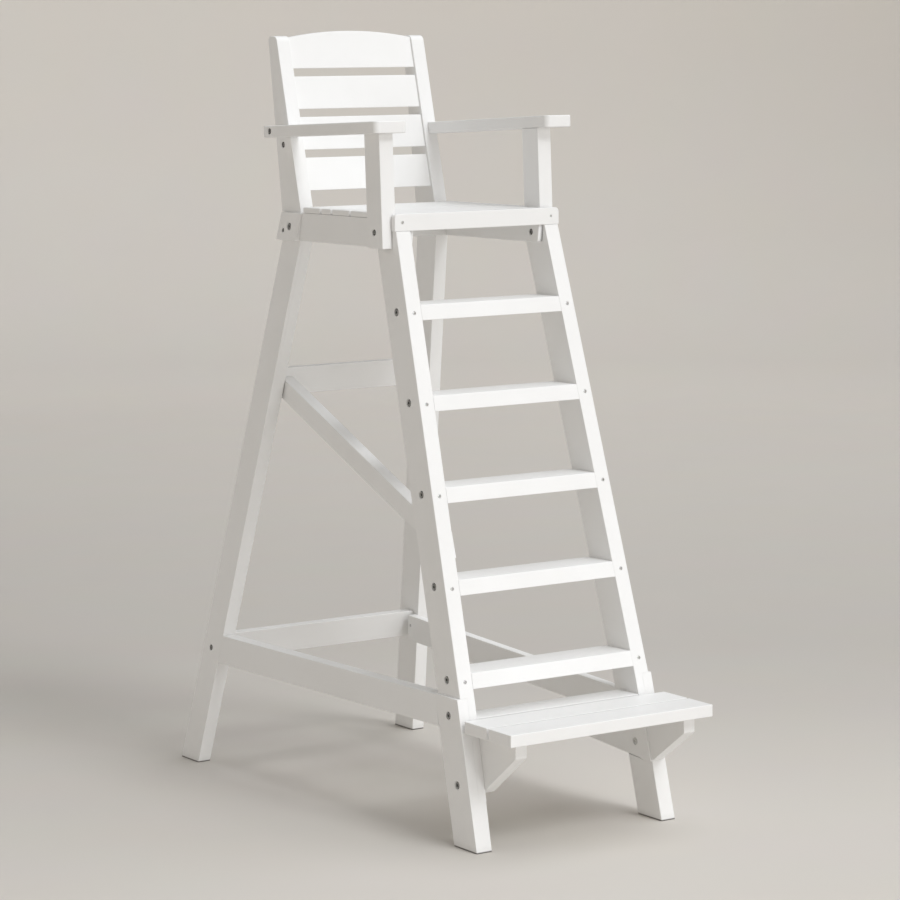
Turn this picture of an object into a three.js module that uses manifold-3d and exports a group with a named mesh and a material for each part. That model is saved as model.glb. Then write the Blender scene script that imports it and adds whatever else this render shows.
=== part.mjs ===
// Lifeguard chair: a tall painted timber seat, climbed by a raked ladder on its front legs.
// Millimetres, +Z up. The ladder side faces -Y, and left means -X, as seen facing the ladder.
// Heights are from the floor. Y is first measured from a line below the seat, and at the end
// the whole chair is moved so that its box is centred over the origin.
import * as THREE from "three";
import { mergeVertices } from "three/addons/utils/BufferGeometryUtils.js";
import Module from "manifold-3d";

const LEFT = -1;
const RIGHT = 1;

// Driving dimensions: fits
const jointGap = 0.3;
const tenonLength = 14;
const tenonShoulder = 10;
const overrun = 20;

// Driving dimensions: seat
const seatHeight = 1800;
const slatThickness = 18;
const seatFront = -163.5;
const slatOverhang = 1;
const seatSlatWidth = 98;
const narrowSlatWidth = 55;
const frontSlatWidth = 41.7;
const seatSlatGap = 8;
const railHeight = 86;
const railOuterHalf = 276;
const railThickness = 51;
const railNoseSetback = 7;
const railNoseSlant = 7;
const railCornerRadius = 8;
const apronHeight = 51;
const apronThickness = 20;
const apronOverhang = 5;
const apronCornerRadius = 14;
const rearApronThickness = 32;
const rearApronInset = 8;
const rearTenonThickness = 10;
const rearTenonOffset = 5;
const rearTenonHeight = 50;

// Driving dimensions: ladder
const ladderRakeDegrees = 16.33;
const ladderSplayDegrees = 2.06;
const stileThickness = 50;
const stileDepth = 112;
const stileProud = 13;
const rungCount = 5;
const firstRungDrop = 263;
const lastRungRise = 126;
const rungHeight = 45;

// Driving dimensions: lower front legs, spliced on the outside of the stile ends
const lowerLegThickness = 50;
const lowerLegProud = 10.3;
const lowerLegRakeDegrees = 13.9;
const lowerLegSplayDegrees = 1.04;
const spliceTop = 430;
const leftSpliceBottom = 140;
const rightSpliceBottom = 174;
const stileTangThickness = 25;
const tangStripWidth = 48;

// Driving dimensions: rear legs and what ties them
const rearLegSetback = 4.5;
const rearLegRakeDegrees = 14;
const rearLegSplayDegrees = 5.48;
const rearLegInset = 6.9;
const rearLegThickness = 45;
const rearLegDepth = 106;
const rearRailThickness = 45;
const rearRailSetback = 27;
const rearRailHeight = 86;
const upperRearRailDrop = 594;
const lowerRearRailBottom = 339;
const stretcherHeight = 90;
const stretcherBottom = 337;
const stretcherThickness = 45;
const stretcherTenonThickness = 18;
const stretcherTenonMargin = 10;
const innerStretcherThickness = 30;
const innerStretcherHeight = 84;
const innerStretcherRearBottom = 331;
const innerStretcherDropDegrees = 2.2;
const innerStretcherTenonMargin = 6;
const innerStretcherEndGap = 14;
const braceThickness = 42;
const braceDepth = 62;
const braceRearDrop = 28;
const braceFrontRise = 150;
const braceRungNumber = 4;
const braceFrontInset = 66;

// Driving dimensions: backrest
const postInset = 5.5;
const postThickness = 46.5;
const postLapThickness = 21;
const postSetback = 19.5;
const postFrontLeanDegrees = 13.75;
const postRearLeanDegrees = 7.34;
const postFootDepth = 112.5;
const postRise = 539;
const postTopRadius = 18;
const backSlatThickness = 20;
const backSlatRecess = 7;
const backSlatHeight = 100;
const backSlatGap = 24.5;
const backSlatCount = 4;
const backSlatTopDrop = 5;
const backArchRise = 20;

// Driving dimensions: blocks over the rear corners
const blockThickness = 18;
const blockTail = 9;
const blockCornerRadius = 6;

// Driving dimensions: arms
const armThickness = 36;
const armRise = 251.2;
const leftArmTiltDegrees = 2.1;
const rightArmTiltDegrees = 2.6;
const leftArmOverhang = -6.5;
const rightArmOverhang = 10.5;
const leftArmRearReach = 98;
const rightArmRearReach = 118;
const armInset = 35;
const leftArmWidth = 113;
const rightArmWidth = 98;
const armCornerRadius = 10;
const armRearCornerRadius = 8;
const armPostThickness = 48;
const armPostDepth = 82;
const armPostLeanDegrees = 2.26;
const armPostHang = 84;
const armPostTenonLength = 30;
const armPostTenonInset = 12;

// Driving dimensions: footrest
const footrestTop = 371;
const footrestThickness = 36;
const footrestLeftReach = 53.5;
const footrestRightReach = 86;
const footBoardWidth = 112;
const footBoardGap = 9;
const footBoardSetoff = 4.6;
const rearBoardWidth = 92;
const rearBoardSetback = 107;
const bracketThickness = 40;
const leftBracketReach = 183;
const rightBracketReach = 192;
const bracketNoseHeight = 48;
const bracketNoseRadius = 5;
const bracketBottom = 160;
const bracketFootWidth = 28;
const bracketTail = 108;
const gussetBottom = 176;
const gussetFootWidth = 2;
const bearerInset = 8;
const bearerThickness = 22;
const bearerTail = 310;
const bearerTop = 270;
const bearerBottom = 172;
const bearerRiseDegrees = 4.2;

// Driving dimensions: bolts
const boltHeadRadius = 10;
const boltHeadHeight = 6;
const boltHeadChamfer = 1.2;
const boltShankRadius = 4;
const boltHoleClearance = 0.3;
const boltRecessDepth = 7;
const boltRecessRadius = 12;
const boltSocketRadius = 4.6;
const boltSocketDepth = 3.5;
const boltSkin = 3;
const rungBoltBite = 45;
const upperLegBoltHeight = 376;
const leftLowerBoltHeight = 181;
const rightLowerBoltHeight = 221;
const boltSides = 16;
const socketSides = 6;
const cornerSteps = 5;
const archSteps = 24;

const wasm = await Module();
wasm.setup();

const painted = new THREE.MeshStandardMaterial({ color: 0xf3f2ef, roughness: 0.55, metalness: 0 });
const steel = new THREE.MeshStandardMaterial({ color: 0x8d8d8b, roughness: 0.4, metalness: 0.9 });

const chair = new THREE.Group();

// A straight line in the side view: a value that grows steadily with another.
class Line {
  constructor(start, slope) {
    this.start = start;
    this.slope = slope;
  }

  static through(value, place, degrees) {
    const slope = Math.tan(THREE.MathUtils.degToRad(degrees));
    return new Line(value - slope * place, slope);
  }

  static between([place, value], [otherPlace, otherValue]) {
    const slope = (otherValue - value) / (otherPlace - place);
    return new Line(value - slope * place, slope);
  }

  at(place) {
    return this.start + this.slope * place;
  }

  moved(distance) {
    return new Line(this.start + distance, this.slope);
  }

  // The point [y, z] where this line, y by z, crosses another, z by y.
  crossing(rising) {
    const z = (rising.start + rising.slope * this.start) / (1 - rising.slope * this.slope);
    return [this.at(z), z];
  }
}

// The run across a board of this depth when the board leans by this angle.
function runAcross(depth, degrees) {
  return depth / Math.cos(THREE.MathUtils.degToRad(degrees));
}

// A closed three.js geometry as a solid that can be joined and cut.
function solidOf(geometry) {
  const bare = geometry.index ? geometry.toNonIndexed() : geometry.clone();
  bare.deleteAttribute("normal");
  bare.deleteAttribute("uv");
  const merged = mergeVertices(bare);
  const corners = merged.index.array;
  const kept = [];
  for (let i = 0; i < corners.length; i += 3) {
    const [a, b, c] = [corners[i], corners[i + 1], corners[i + 2]];
    if (a !== b && b !== c && c !== a) kept.push(a, b, c);
  }
  return new wasm.Manifold(
    new wasm.Mesh({
      numProp: 3,
      vertProperties: merged.getAttribute("position").array,
      triVerts: new Uint32Array(kept),
    }),
  );
}

// A finished solid as a named mesh of the chair.
function addPiece(name, solid, material = painted) {
  const made = solid.getMesh();
  const geometry = new THREE.BufferGeometry();
  geometry.setAttribute("position", new THREE.BufferAttribute(made.vertProperties, made.numProp));
  geometry.setIndex(new THREE.BufferAttribute(made.triVerts, 1));
  geometry.computeVertexNormals();
  const mesh = new THREE.Mesh(geometry, material);
  mesh.name = name;
  chair.add(mesh);
}

// A closed outline through points, each with an optional corner radius as its third value.
function outlineOf(points) {
  const shape = new THREE.Shape();
  const toward = (from, to, radius) => {
    const step = new THREE.Vector2(to[0] - from[0], to[1] - from[1]).setLength(radius);
    return [from[0] + step.x, from[1] + step.y];
  };
  points.forEach((point, i) => {
    const before = points[(i + points.length - 1) % points.length];
    const after = points[(i + 1) % points.length];
    const radius = point[2] ?? 0;
    const [startX, startY] = toward(point, before, radius);
    if (i === 0) shape.moveTo(startX, startY);
    else shape.lineTo(startX, startY);
    if (radius > 0) shape.quadraticCurveTo(point[0], point[1], ...toward(point, after, radius));
  });
  shape.closePath();
  return shape;
}

// A board with a drawn outline between two faces. The faces lie across the given axis, and each is
// a function of the outline's two coordinates, so a face can slope.
function board(axis, outline, low, high, curveSegments = cornerSteps) {
  const geometry = new THREE.ExtrudeGeometry(outline, { depth: 1, bevelEnabled: false, curveSegments });
  const position = geometry.getAttribute("position");
  for (let i = 0; i < position.count; i += 1) {
    const p = position.getX(i);
    const q = position.getY(i);
    const share = axis === "y" ? 1 - position.getZ(i) : position.getZ(i);
    const along = THREE.MathUtils.lerp(low(p, q), high(p, q), share);
    if (axis === "x") position.setXYZ(i, along, p, q);
    if (axis === "y") position.setXYZ(i, p, along, q);
    if (axis === "z") position.setXYZ(i, p, q, along);
  }
  return solidOf(geometry);
}

// A board of one side of the chair: its outline is in y and z, its faces are distances from the middle.
function sideBoard(side, outline, inner, outer) {
  if (side === LEFT) return board("x", outline, (y, z) => -outer(y, z), (y, z) => -inner(y, z));
  return board("x", outline, inner, outer);
}

// A board that runs across the chair, between faces at the same distance on the left and the right.
function crossBoard(outline, half) {
  return board("x", outline, (y, z) => -half(y, z), half);
}

// The outline between two sloping lines, from one height to another, shrunk all round by an inset.
function rakedOutline(front, rear, bottom, top, inset = 0) {
  const low = bottom + inset;
  const high = top - inset;
  return outlineOf([
    [front.at(low) + inset, low],
    [rear.at(low) - inset, low],
    [rear.at(high) - inset, high],
    [front.at(high) + inset, high],
  ]);
}

// A board across the chair with a tenon on each end, and the cutter for the two mortises.
function tenonedCrossBoard(front, rear, bottom, top, reach, shoulder, length) {
  const outline = rakedOutline(front, rear, bottom, top);
  const tenon = rakedOutline(front, rear, bottom, top, shoulder);
  const mortise = rakedOutline(front, rear, bottom, top, shoulder - jointGap);
  return {
    solid: crossBoard(outline, (y, z) => reach(z) - jointGap).add(
      crossBoard(tenon, (y, z) => reach(z) + length),
    ),
    mortise: crossBoard(mortise, (y, z) => reach(z) + length + jointGap),
  };
}

// Sizes that differ from side to side
const spliceBottoms = { [LEFT]: leftSpliceBottom, [RIGHT]: rightSpliceBottom };
const armTiltDegrees = { [LEFT]: leftArmTiltDegrees, [RIGHT]: rightArmTiltDegrees };
const armOverhangs = { [LEFT]: leftArmOverhang, [RIGHT]: rightArmOverhang };
const armRearReaches = { [LEFT]: leftArmRearReach, [RIGHT]: rightArmRearReach };
const armWidths = { [LEFT]: leftArmWidth, [RIGHT]: rightArmWidth };
const legBoltHeights = {
  [LEFT]: { upper: upperLegBoltHeight, lower: leftLowerBoltHeight },
  [RIGHT]: { upper: upperLegBoltHeight, lower: rightLowerBoltHeight },
};

// Widths that follow the seat rails
const seatSlatHalfLength = railOuterHalf + slatOverhang;
const stileTopHalfWidth = railOuterHalf + stileProud;
const apronHalfLength = stileTopHalfWidth + apronOverhang;
const railInnerHalf = railOuterHalf - railThickness;
const postOuterHalf = railOuterHalf - postInset;
const postInnerHalf = postOuterHalf - postThickness;
const postLapHalf = postInnerHalf + postLapThickness;
const rearLegTopHalfWidth = postOuterHalf - rearLegInset;
const armInnerHalf = railOuterHalf - armInset;

// Levels and sloping lines that the pieces share
const seatLevel = seatHeight - slatThickness;
const railTop = seatLevel - jointGap;
const railBottom = seatLevel - railHeight;
const apronBottom = seatHeight - apronHeight;
const apronRear = seatFront + apronThickness;
const slatWidths = [seatSlatWidth, narrowSlatWidth, seatSlatWidth, seatSlatWidth, seatSlatWidth];
const slatRun = slatWidths.reduce((sum, width) => sum + width + seatSlatGap, frontSlatWidth);
const seatSlatRear = apronRear + jointGap + slatRun;
const rearLegFrontAtSeat = seatSlatRear + rearLegSetback;
const ladderFront = Line.through(seatFront, apronBottom, ladderRakeDegrees);
const ladderRun = runAcross(stileDepth, ladderRakeDegrees);
const ladderRear = ladderFront.moved(ladderRun);
const stileOuter = Line.through(stileTopHalfWidth, seatLevel, -ladderSplayDegrees);
const stileInner = stileOuter.moved(-stileThickness);
const tangOuter = stileInner.moved(stileTangThickness);
const lowerLegFront = Line.through(ladderFront.at(spliceTop), spliceTop, lowerLegRakeDegrees);
const lowerLegRear = lowerLegFront.moved(ladderRun);
const tangStripRear = lowerLegFront.moved(tangStripWidth);
const lowerLegOuter = Line.through(
  stileOuter.at(spliceTop) + lowerLegProud,
  spliceTop,
  -lowerLegSplayDegrees,
);
const lowerLegInner = { [LEFT]: stileInner, [RIGHT]: lowerLegOuter.moved(-lowerLegThickness) };
const rearLegFront = Line.through(rearLegFrontAtSeat, seatLevel, -rearLegRakeDegrees);
const rearLegRun = runAcross(rearLegDepth, rearLegRakeDegrees);
const rearLegRear = rearLegFront.moved(rearLegRun);
const rearLegOuter = Line.through(rearLegTopHalfWidth, seatLevel, -rearLegSplayDegrees);
const rearLegInner = rearLegOuter.moved(-rearLegThickness);
const rearRailFront = rearLegFront.moved(rearRailSetback);
const rearRailRear = rearRailFront.moved(rearRailThickness);
const postFront = Line.through(rearLegFrontAtSeat + postSetback, seatLevel, postFrontLeanDegrees);
const postRear = Line.through(
  rearLegFrontAtSeat + postSetback + postFootDepth,
  seatLevel,
  postRearLeanDegrees,
);
const armTop = (side) =>
  Line.through(seatHeight + armRise, rearLegFrontAtSeat, -armTiltDegrees[side]);
const armBottom = (side) => armTop(side).moved(-armThickness);
const armPostFront = Line.through(apronRear + jointGap, apronBottom, armPostLeanDegrees);
const armPostRear = armPostFront.moved(armPostDepth);
const footrestBottom = footrestTop - footrestThickness;
const footrestLeft = -stileTopHalfWidth - footrestLeftReach;
const footrestRight = stileTopHalfWidth + footrestRightReach;
const firstRungTop = seatHeight - firstRungDrop;
const lastRungTop = footrestTop + lastRungRise;
const rungPitch = (firstRungTop - lastRungTop) / (rungCount - 1);
const rungTop = (number) => firstRungTop - (number - 1) * rungPitch;
const upperRearRailBottom = seatHeight - upperRearRailDrop;

// Faces as functions of y and z
const byHeight = (line, shift = 0) => (y, z) => line.at(z) + shift;
const flat = (value) => () => value;

// A bolt along X that enters a side of the chair: its solid and the cutter for its recess and hole.
function boltFrom(side, face, tip, y, z) {
  const seat = face - boltRecessDepth;
  const length = seat - tip;
  const place = (geometry, from) => {
    geometry.rotateZ((-side * Math.PI) / 2);
    geometry.translate(side * from, y, z);
    return solidOf(geometry);
  };
  const rod = (radius, from, to, sides) =>
    place(new THREE.CylinderGeometry(radius, radius, to - from, sides), (from + to) / 2);
  const headTop = length + boltHeadHeight;
  const profile = [
    [0, 0],
    [boltShankRadius, 0],
    [boltShankRadius, length + jointGap],
    [boltHeadRadius, length + jointGap],
    [boltHeadRadius, headTop - boltHeadChamfer],
    [boltHeadRadius - boltHeadChamfer, headTop],
    [0, headTop],
  ].map(([radius, height]) => new THREE.Vector2(radius, height));
  const body = place(new THREE.LatheGeometry(profile, boltSides), tip);
  const headFace = seat + boltHeadHeight;
  const socket = rod(boltSocketRadius, headFace - boltSocketDepth, headFace + overrun, socketSides);
  const hole = rod(boltShankRadius + boltHoleClearance, tip - jointGap, face + overrun, boltSides);
  const recess = rod(boltRecessRadius, seat, face + overrun, boltSides);
  return { solid: body.subtract(socket), cutter: hole.add(recess) };
}

const sideNames = new Map([
  [LEFT, "left"],
  [RIGHT, "right"],
]);

// Rungs and the bolts that hold them in the stiles
const rungs = [];
const rungBolts = { [LEFT]: [], [RIGHT]: [] };

function makeRungs() {
  for (let number = 1; number <= rungCount; number += 1) {
    const top = rungTop(number);
    const bottom = top - rungHeight;
    const middle = (top + bottom) / 2;
    const rung = tenonedCrossBoard(
      ladderFront,
      ladderRear,
      bottom,
      top,
      (z) => stileInner.at(z),
      tenonShoulder,
      tenonLength,
    );
    const boltY = (ladderFront.at(middle) + ladderRear.at(middle)) / 2;
    [LEFT, RIGHT].forEach((side) => {
      const tip = stileInner.at(middle) - rungBoltBite;
      const bolt = boltFrom(side, stileOuter.at(middle), tip, boltY, middle);
      rungBolts[side].push(bolt);
      rung.solid = rung.solid.subtract(bolt.cutter);
      addPiece(`${sideNames.get(side)}_rung_bolt_${number}`, bolt.solid, steel);
    });
    rungs.push(rung);
    addPiece(`ladder_rung_${number}`, rung.solid);
  }
}

// Bolts through the splice of the stile and the lower leg
function spliceBolts(side) {
  return Object.entries(legBoltHeights[side]).map(([label, height]) => {
    const inset = side === RIGHT && height < bearerTop ? bearerInset : 0;
    const tip = stileInner.at(height) + inset + boltSkin;
    const y = lowerLegFront.at(height) + ladderRun / 2;
    return { label, ...boltFrom(side, lowerLegOuter.at(height), tip, y, height) };
  });
}

// The front end of a side stretcher is tenoned into the back of the splice, the left one also
// into the rear leg. The right stretcher drops to the front and laps the rear leg on its inside.
const stretcherSplay = (rearLegOuter.slope + lowerLegOuter.slope) / 2;

function leftStretcher() {
  const bottom = stretcherBottom;
  const top = bottom + stretcherHeight;
  const middle = (bottom + top) / 2;
  const front = lowerLegRear.moved(jointGap);
  const rear = rearLegFront.moved(-jointGap);
  const slope =
    (rearLegOuter.at(middle) - lowerLegOuter.at(middle)) / (rear.at(middle) - front.at(middle));
  const outer = (y, z) =>
    lowerLegOuter.at(middle) + slope * (y - front.at(middle)) + stretcherSplay * (z - middle);
  const inner = (y, z) => outer(y, z) - stretcherThickness;
  const tenonOuter = (y, z) => outer(y, z) - stretcherTenonMargin;
  const tenonInner = (y, z) => tenonOuter(y, z) - stretcherTenonThickness;
  const low = bottom + 2 * tenonShoulder;
  const high = top - 2 * tenonShoulder;
  const tenon = rakedOutline(front.moved(-tenonLength), rear.moved(tenonLength), low, high);
  const mortise = rakedOutline(
    front.moved(-tenonLength - jointGap),
    rear.moved(tenonLength + jointGap),
    low - jointGap,
    high + jointGap,
  );
  return {
    solid: sideBoard(LEFT, rakedOutline(front, rear, bottom, top), inner, outer).add(
      sideBoard(LEFT, tenon, tenonInner, tenonOuter),
    ),
    mortise: sideBoard(
      LEFT,
      mortise,
      (y, z) => tenonInner(y, z) - jointGap,
      (y, z) => tenonOuter(y, z) + jointGap,
    ),
  };
}

function rightStretcher() {
  const front = lowerLegRear.moved(jointGap);
  const rearTop = innerStretcherRearBottom + innerStretcherHeight;
  const rear = Line.through(
    rearRailFront.at(rearTop) - innerStretcherEndGap,
    rearTop,
    -innerStretcherDropDegrees,
  );
  const bottomLine = Line.through(
    innerStretcherRearBottom,
    rear.at(innerStretcherRearBottom),
    innerStretcherDropDegrees,
  );
  const topLine = bottomLine.moved(innerStretcherHeight);
  const frontMiddle = front.crossing(bottomLine.moved(innerStretcherHeight / 2));
  const rearMiddle = rear.crossing(bottomLine.moved(innerStretcherHeight / 2));
  const frontOuter = lowerLegInner[RIGHT].at(frontMiddle[1]) + innerStretcherThickness;
  const rearOuter = rearLegInner.at(rearTop) - jointGap;
  const slope = (rearOuter - frontOuter) / (rearMiddle[0] - frontMiddle[0]);
  const outer = (y) => frontOuter + slope * (y - frontMiddle[0]);
  const inner = (y) => outer(y) - innerStretcherThickness;
  const body = outlineOf([
    front.crossing(bottomLine),
    rear.crossing(bottomLine),
    rear.crossing(topLine),
    front.crossing(topLine),
  ]);
  const stub = (grow) => {
    const low = bottomLine.moved(2 * tenonShoulder - grow);
    const high = topLine.moved(-2 * tenonShoulder + grow);
    const nose = front.moved(-tenonLength - grow);
    const root = front.moved(tenonLength);
    return sideBoard(
      RIGHT,
      outlineOf([nose.crossing(low), root.crossing(low), root.crossing(high), nose.crossing(high)]),
      (y) => inner(y) + innerStretcherTenonMargin - grow,
      (y) => outer(y) - innerStretcherTenonMargin + grow,
    );
  };
  return {
    solid: sideBoard(RIGHT, body, inner, outer).add(stub(0)),
    mortise: stub(jointGap),
  };
}

// The lower corners of a stile's tang. Low down on the right only its front strip goes on, past
// the bearer of the footrest. Grown and reached past its edges it gives the halving of the leg.
function tangCorners(side, grow, reach) {
  const bottom = spliceBottoms[side] - grow;
  const front = lowerLegFront.moved(-reach);
  const rear = lowerLegRear.moved(reach);
  if (side === LEFT) {
    return [
      [front.at(bottom), bottom],
      [rear.at(bottom), bottom],
    ];
  }
  const strip = tangStripRear.moved(grow);
  const ledge = bearerTop + jointGap - grow;
  return [
    [front.at(bottom), bottom],
    [strip.at(bottom), bottom],
    [strip.at(ledge), ledge],
    [rear.at(ledge), ledge],
  ];
}

// Ladder stiles, housed for the apron at the top and cut to a tang at the bottom
function makeStile(side, cutters) {
  const housingBack = apronRear + jointGap;
  const outline = outlineOf([
    ...tangCorners(side, 0, 0),
    [lowerLegRear.at(spliceTop), spliceTop],
    [ladderRear.at(railTop), railTop],
    [housingBack, railTop],
    [housingBack, apronBottom - jointGap],
    [ladderFront.at(apronBottom - jointGap), apronBottom - jointGap],
    [lowerLegFront.at(spliceTop), spliceTop],
  ]);
  const whole = sideBoard(side, outline, byHeight(stileInner), byHeight(stileOuter));
  const halving = sideBoard(
    side,
    rakedOutline(
      lowerLegFront.moved(-overrun),
      lowerLegRear.moved(overrun),
      spliceBottoms[side] - overrun,
      spliceTop,
    ),
    byHeight(tangOuter),
    byHeight(stileOuter, overrun),
  );
  const stile = cutters.reduce((solid, cutter) => solid.subtract(cutter), whole.subtract(halving));
  addPiece(`${sideNames.get(side)}_ladder_stile`, stile);
}

// Lower front legs, halved at the top for the tang
function makeLowerLeg(side, cutters) {
  const whole = sideBoard(
    side,
    rakedOutline(lowerLegFront, lowerLegRear, 0, spliceTop - jointGap),
    byHeight(lowerLegInner[side]),
    byHeight(lowerLegOuter),
  );
  const high = spliceTop + overrun;
  const halving = sideBoard(
    side,
    outlineOf([
      ...tangCorners(side, jointGap, overrun),
      [lowerLegRear.at(high) + overrun, high],
      [lowerLegFront.at(high) - overrun, high],
    ]),
    byHeight(stileInner, -overrun),
    byHeight(tangOuter, jointGap),
  );
  const leg = cutters.reduce((solid, cutter) => solid.subtract(cutter), whole.subtract(halving));
  addPiece(`${sideNames.get(side)}_lower_leg`, leg);
}

// Rear cross rails between the rear legs
function rearCrossRail(bottom) {
  return tenonedCrossBoard(
    rearRailFront,
    rearRailRear,
    bottom,
    bottom + rearRailHeight,
    (z) => rearLegInner.at(z),
    tenonShoulder,
    tenonLength,
  );
}

// Bolt through the corner block, the rear leg and the foot of the back post
function postBolt(side) {
  const height = (railTop + railBottom) / 2;
  const face = rearLegOuter.at(height) + jointGap + blockThickness;
  return boltFrom(
    side,
    face,
    postInnerHalf + boltSkin,
    rearLegFront.at(height) + rearLegRun / 2,
    height,
  );
}

// Rear legs, halved at the top on the inside for the foot of the back post
function makeRearLeg(side, cutters) {
  const whole = sideBoard(
    side,
    rakedOutline(rearLegFront, rearLegRear, 0, railTop),
    byHeight(rearLegInner),
    byHeight(rearLegOuter),
  );
  const halving = sideBoard(
    side,
    rakedOutline(
      rearLegFront.moved(-overrun),
      rearLegRear.moved(overrun),
      railBottom - jointGap,
      railTop + overrun,
    ),
    byHeight(rearLegInner, -overrun),
    flat(postLapHalf + jointGap),
  );
  const leg = cutters.reduce((solid, cutter) => solid.subtract(cutter), whole.subtract(halving));
  addPiece(`${sideNames.get(side)}_rear_leg`, leg);
}

// Diagonal brace on the inside of the left stile and the left rear leg
function makeBrace() {
  const rear = rearRailFront.moved(-jointGap);
  const front = ladderFront.moved(braceFrontInset);
  const rearTop = upperRearRailBottom + rearRailHeight - braceRearDrop;
  const frontTop = rungTop(braceRungNumber) + braceFrontRise;
  const topLine = Line.between(
    [ladderRear.at(frontTop), frontTop],
    [rear.at(rearTop), rearTop],
  );
  const bottomLine = topLine.moved(-braceDepth * Math.hypot(1, topLine.slope));
  const outline = outlineOf([
    front.crossing(bottomLine),
    rear.crossing(bottomLine),
    rear.crossing(topLine),
    front.crossing(topLine),
  ]);
  const outer = Line.between(
    [ladderRear.at(frontTop), stileInner.at(frontTop) - jointGap],
    [rear.at(rearTop), rearLegInner.at(rearTop) - jointGap],
  );
  const brace = sideBoard(LEFT, outline, (y) => outer.at(y) - braceThickness, (y) => outer.at(y));
  addPiece("diagonal_brace", brace);
}

// Seat rails: full thickness behind the stile, and a tongue that passes it on the inside and ends
// in a nose under the front apron
const rearTenonInner = postLapHalf + rearTenonOffset;

function railTenon(side, grow) {
  const low = railBottom + tenonShoulder - grow;
  return sideBoard(
    side,
    rakedOutline(
      rearLegFront.moved(-2 * tenonLength),
      rearLegFront.moved(tenonLength + grow),
      low,
      low + rearTenonHeight + 2 * grow,
    ),
    flat(rearTenonInner - grow),
    flat(rearTenonInner + rearTenonThickness + grow),
  );
}

function makeSeatRail(side, mortise) {
  const front = ladderRear.moved(jointGap);
  const rear = rearLegFront.moved(-jointGap);
  const body = sideBoard(
    side,
    rakedOutline(front, rear, railBottom, railTop),
    flat(railInnerHalf),
    flat(railOuterHalf),
  );
  const nose = seatFront + railNoseSetback;
  const noseTop = apronBottom - jointGap;
  const tongueFront = apronRear + jointGap;
  const tongue = sideBoard(
    side,
    outlineOf([
      [nose + railNoseSlant, railBottom, railCornerRadius],
      [front.at(railBottom) + overrun, railBottom],
      [front.at(railTop) + overrun, railTop],
      [tongueFront, railTop],
      [tongueFront, noseTop],
      [nose, noseTop],
    ]),
    flat(railInnerHalf),
    byHeight(stileInner, -jointGap),
  );
  const rail = body.add(tongue).add(railTenon(side, 0)).subtract(mortise);
  addPiece(`${sideNames.get(side)}_seat_rail`, rail);
}

// Aprons under the front and the rear of the seat
function makeFrontApron() {
  const outline = outlineOf([
    [-apronHalfLength, apronBottom],
    [apronHalfLength, apronBottom],
    [apronHalfLength, seatHeight, apronCornerRadius],
    [-apronHalfLength, seatHeight, apronCornerRadius],
  ]);
  addPiece("front_apron", board("y", outline, flat(seatFront), flat(apronRear)));
}

function rearApron() {
  const rear = new Line(rearLegFrontAtSeat - rearApronInset, 0);
  return tenonedCrossBoard(
    rear.moved(-rearApronThickness),
    rear,
    railBottom,
    railTop,
    () => railInnerHalf,
    tenonShoulder,
    tenonLength,
  );
}

// Arm posts. The left one is notched over the outside of the stile, the right one stands on it.
const leftPostInner = seatSlatHalfLength + jointGap;
const leftPostLap = stileOuter.at(seatLevel - armPostHang) + jointGap;
const leftPostOuter = leftPostInner + armPostThickness;
const rightPostInner = stileInner.at(seatLevel);

function rectangle(left, right, front, rear) {
  return outlineOf([
    [left, front],
    [right, front],
    [right, rear],
    [left, rear],
  ]);
}

function armPostOutline(side, bottom) {
  const top = armBottom(side).moved(-jointGap);
  return outlineOf([
    [armPostFront.at(bottom), bottom],
    [armPostRear.at(bottom), bottom],
    armPostRear.crossing(top),
    armPostFront.crossing(top),
  ]);
}

function makeLeftArmPost() {
  const upper = armPostOutline(LEFT, seatLevel);
  const whole = armPostOutline(LEFT, seatLevel - armPostHang);
  const post = sideBoard(LEFT, upper, flat(leftPostInner), flat(leftPostOuter));
  addPiece("left_arm_post", post.add(sideBoard(LEFT, whole, flat(leftPostLap), flat(leftPostOuter))));
}

function rightPostTenon(grow) {
  const outline = rectangle(
    rightPostInner + armPostTenonInset - grow,
    rightPostInner + armPostThickness - armPostTenonInset + grow,
    armPostFront.at(seatLevel) + armPostTenonInset - grow,
    armPostRear.at(seatLevel) - armPostTenonInset + grow,
  );
  return board("z", outline, flat(seatLevel - armPostTenonLength - grow), flat(seatLevel + overrun));
}

function makeRightArmPost() {
  const post = sideBoard(
    RIGHT,
    armPostOutline(RIGHT, seatLevel),
    flat(rightPostInner),
    flat(rightPostInner + armPostThickness),
  );
  addPiece("right_arm_post", post.add(rightPostTenon(0)));
}

// Seat slats from the rear to the apron, the front ones notched round the right arm post
function makeSeatSlats() {
  const notch = board(
    "z",
    rectangle(
      rightPostInner - jointGap,
      seatSlatHalfLength + overrun,
      armPostFront.at(seatLevel) - overrun,
      armPostRear.at(seatHeight) + jointGap,
    ),
    flat(seatLevel - overrun),
    flat(seatHeight + overrun),
  );
  let rear = seatSlatRear;
  const addSlat = (number, front) => {
    const outline = rectangle(-seatSlatHalfLength, seatSlatHalfLength, front, rear);
    const slat = board("z", outline, flat(seatLevel), flat(seatHeight));
    addPiece(`seat_slat_${number}`, slat.subtract(notch));
    rear = front - seatSlatGap;
  };
  slatWidths.forEach((width, i) => addSlat(i + 1, rear - width));
  addSlat(slatWidths.length + 1, apronRear + jointGap);
}

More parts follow.
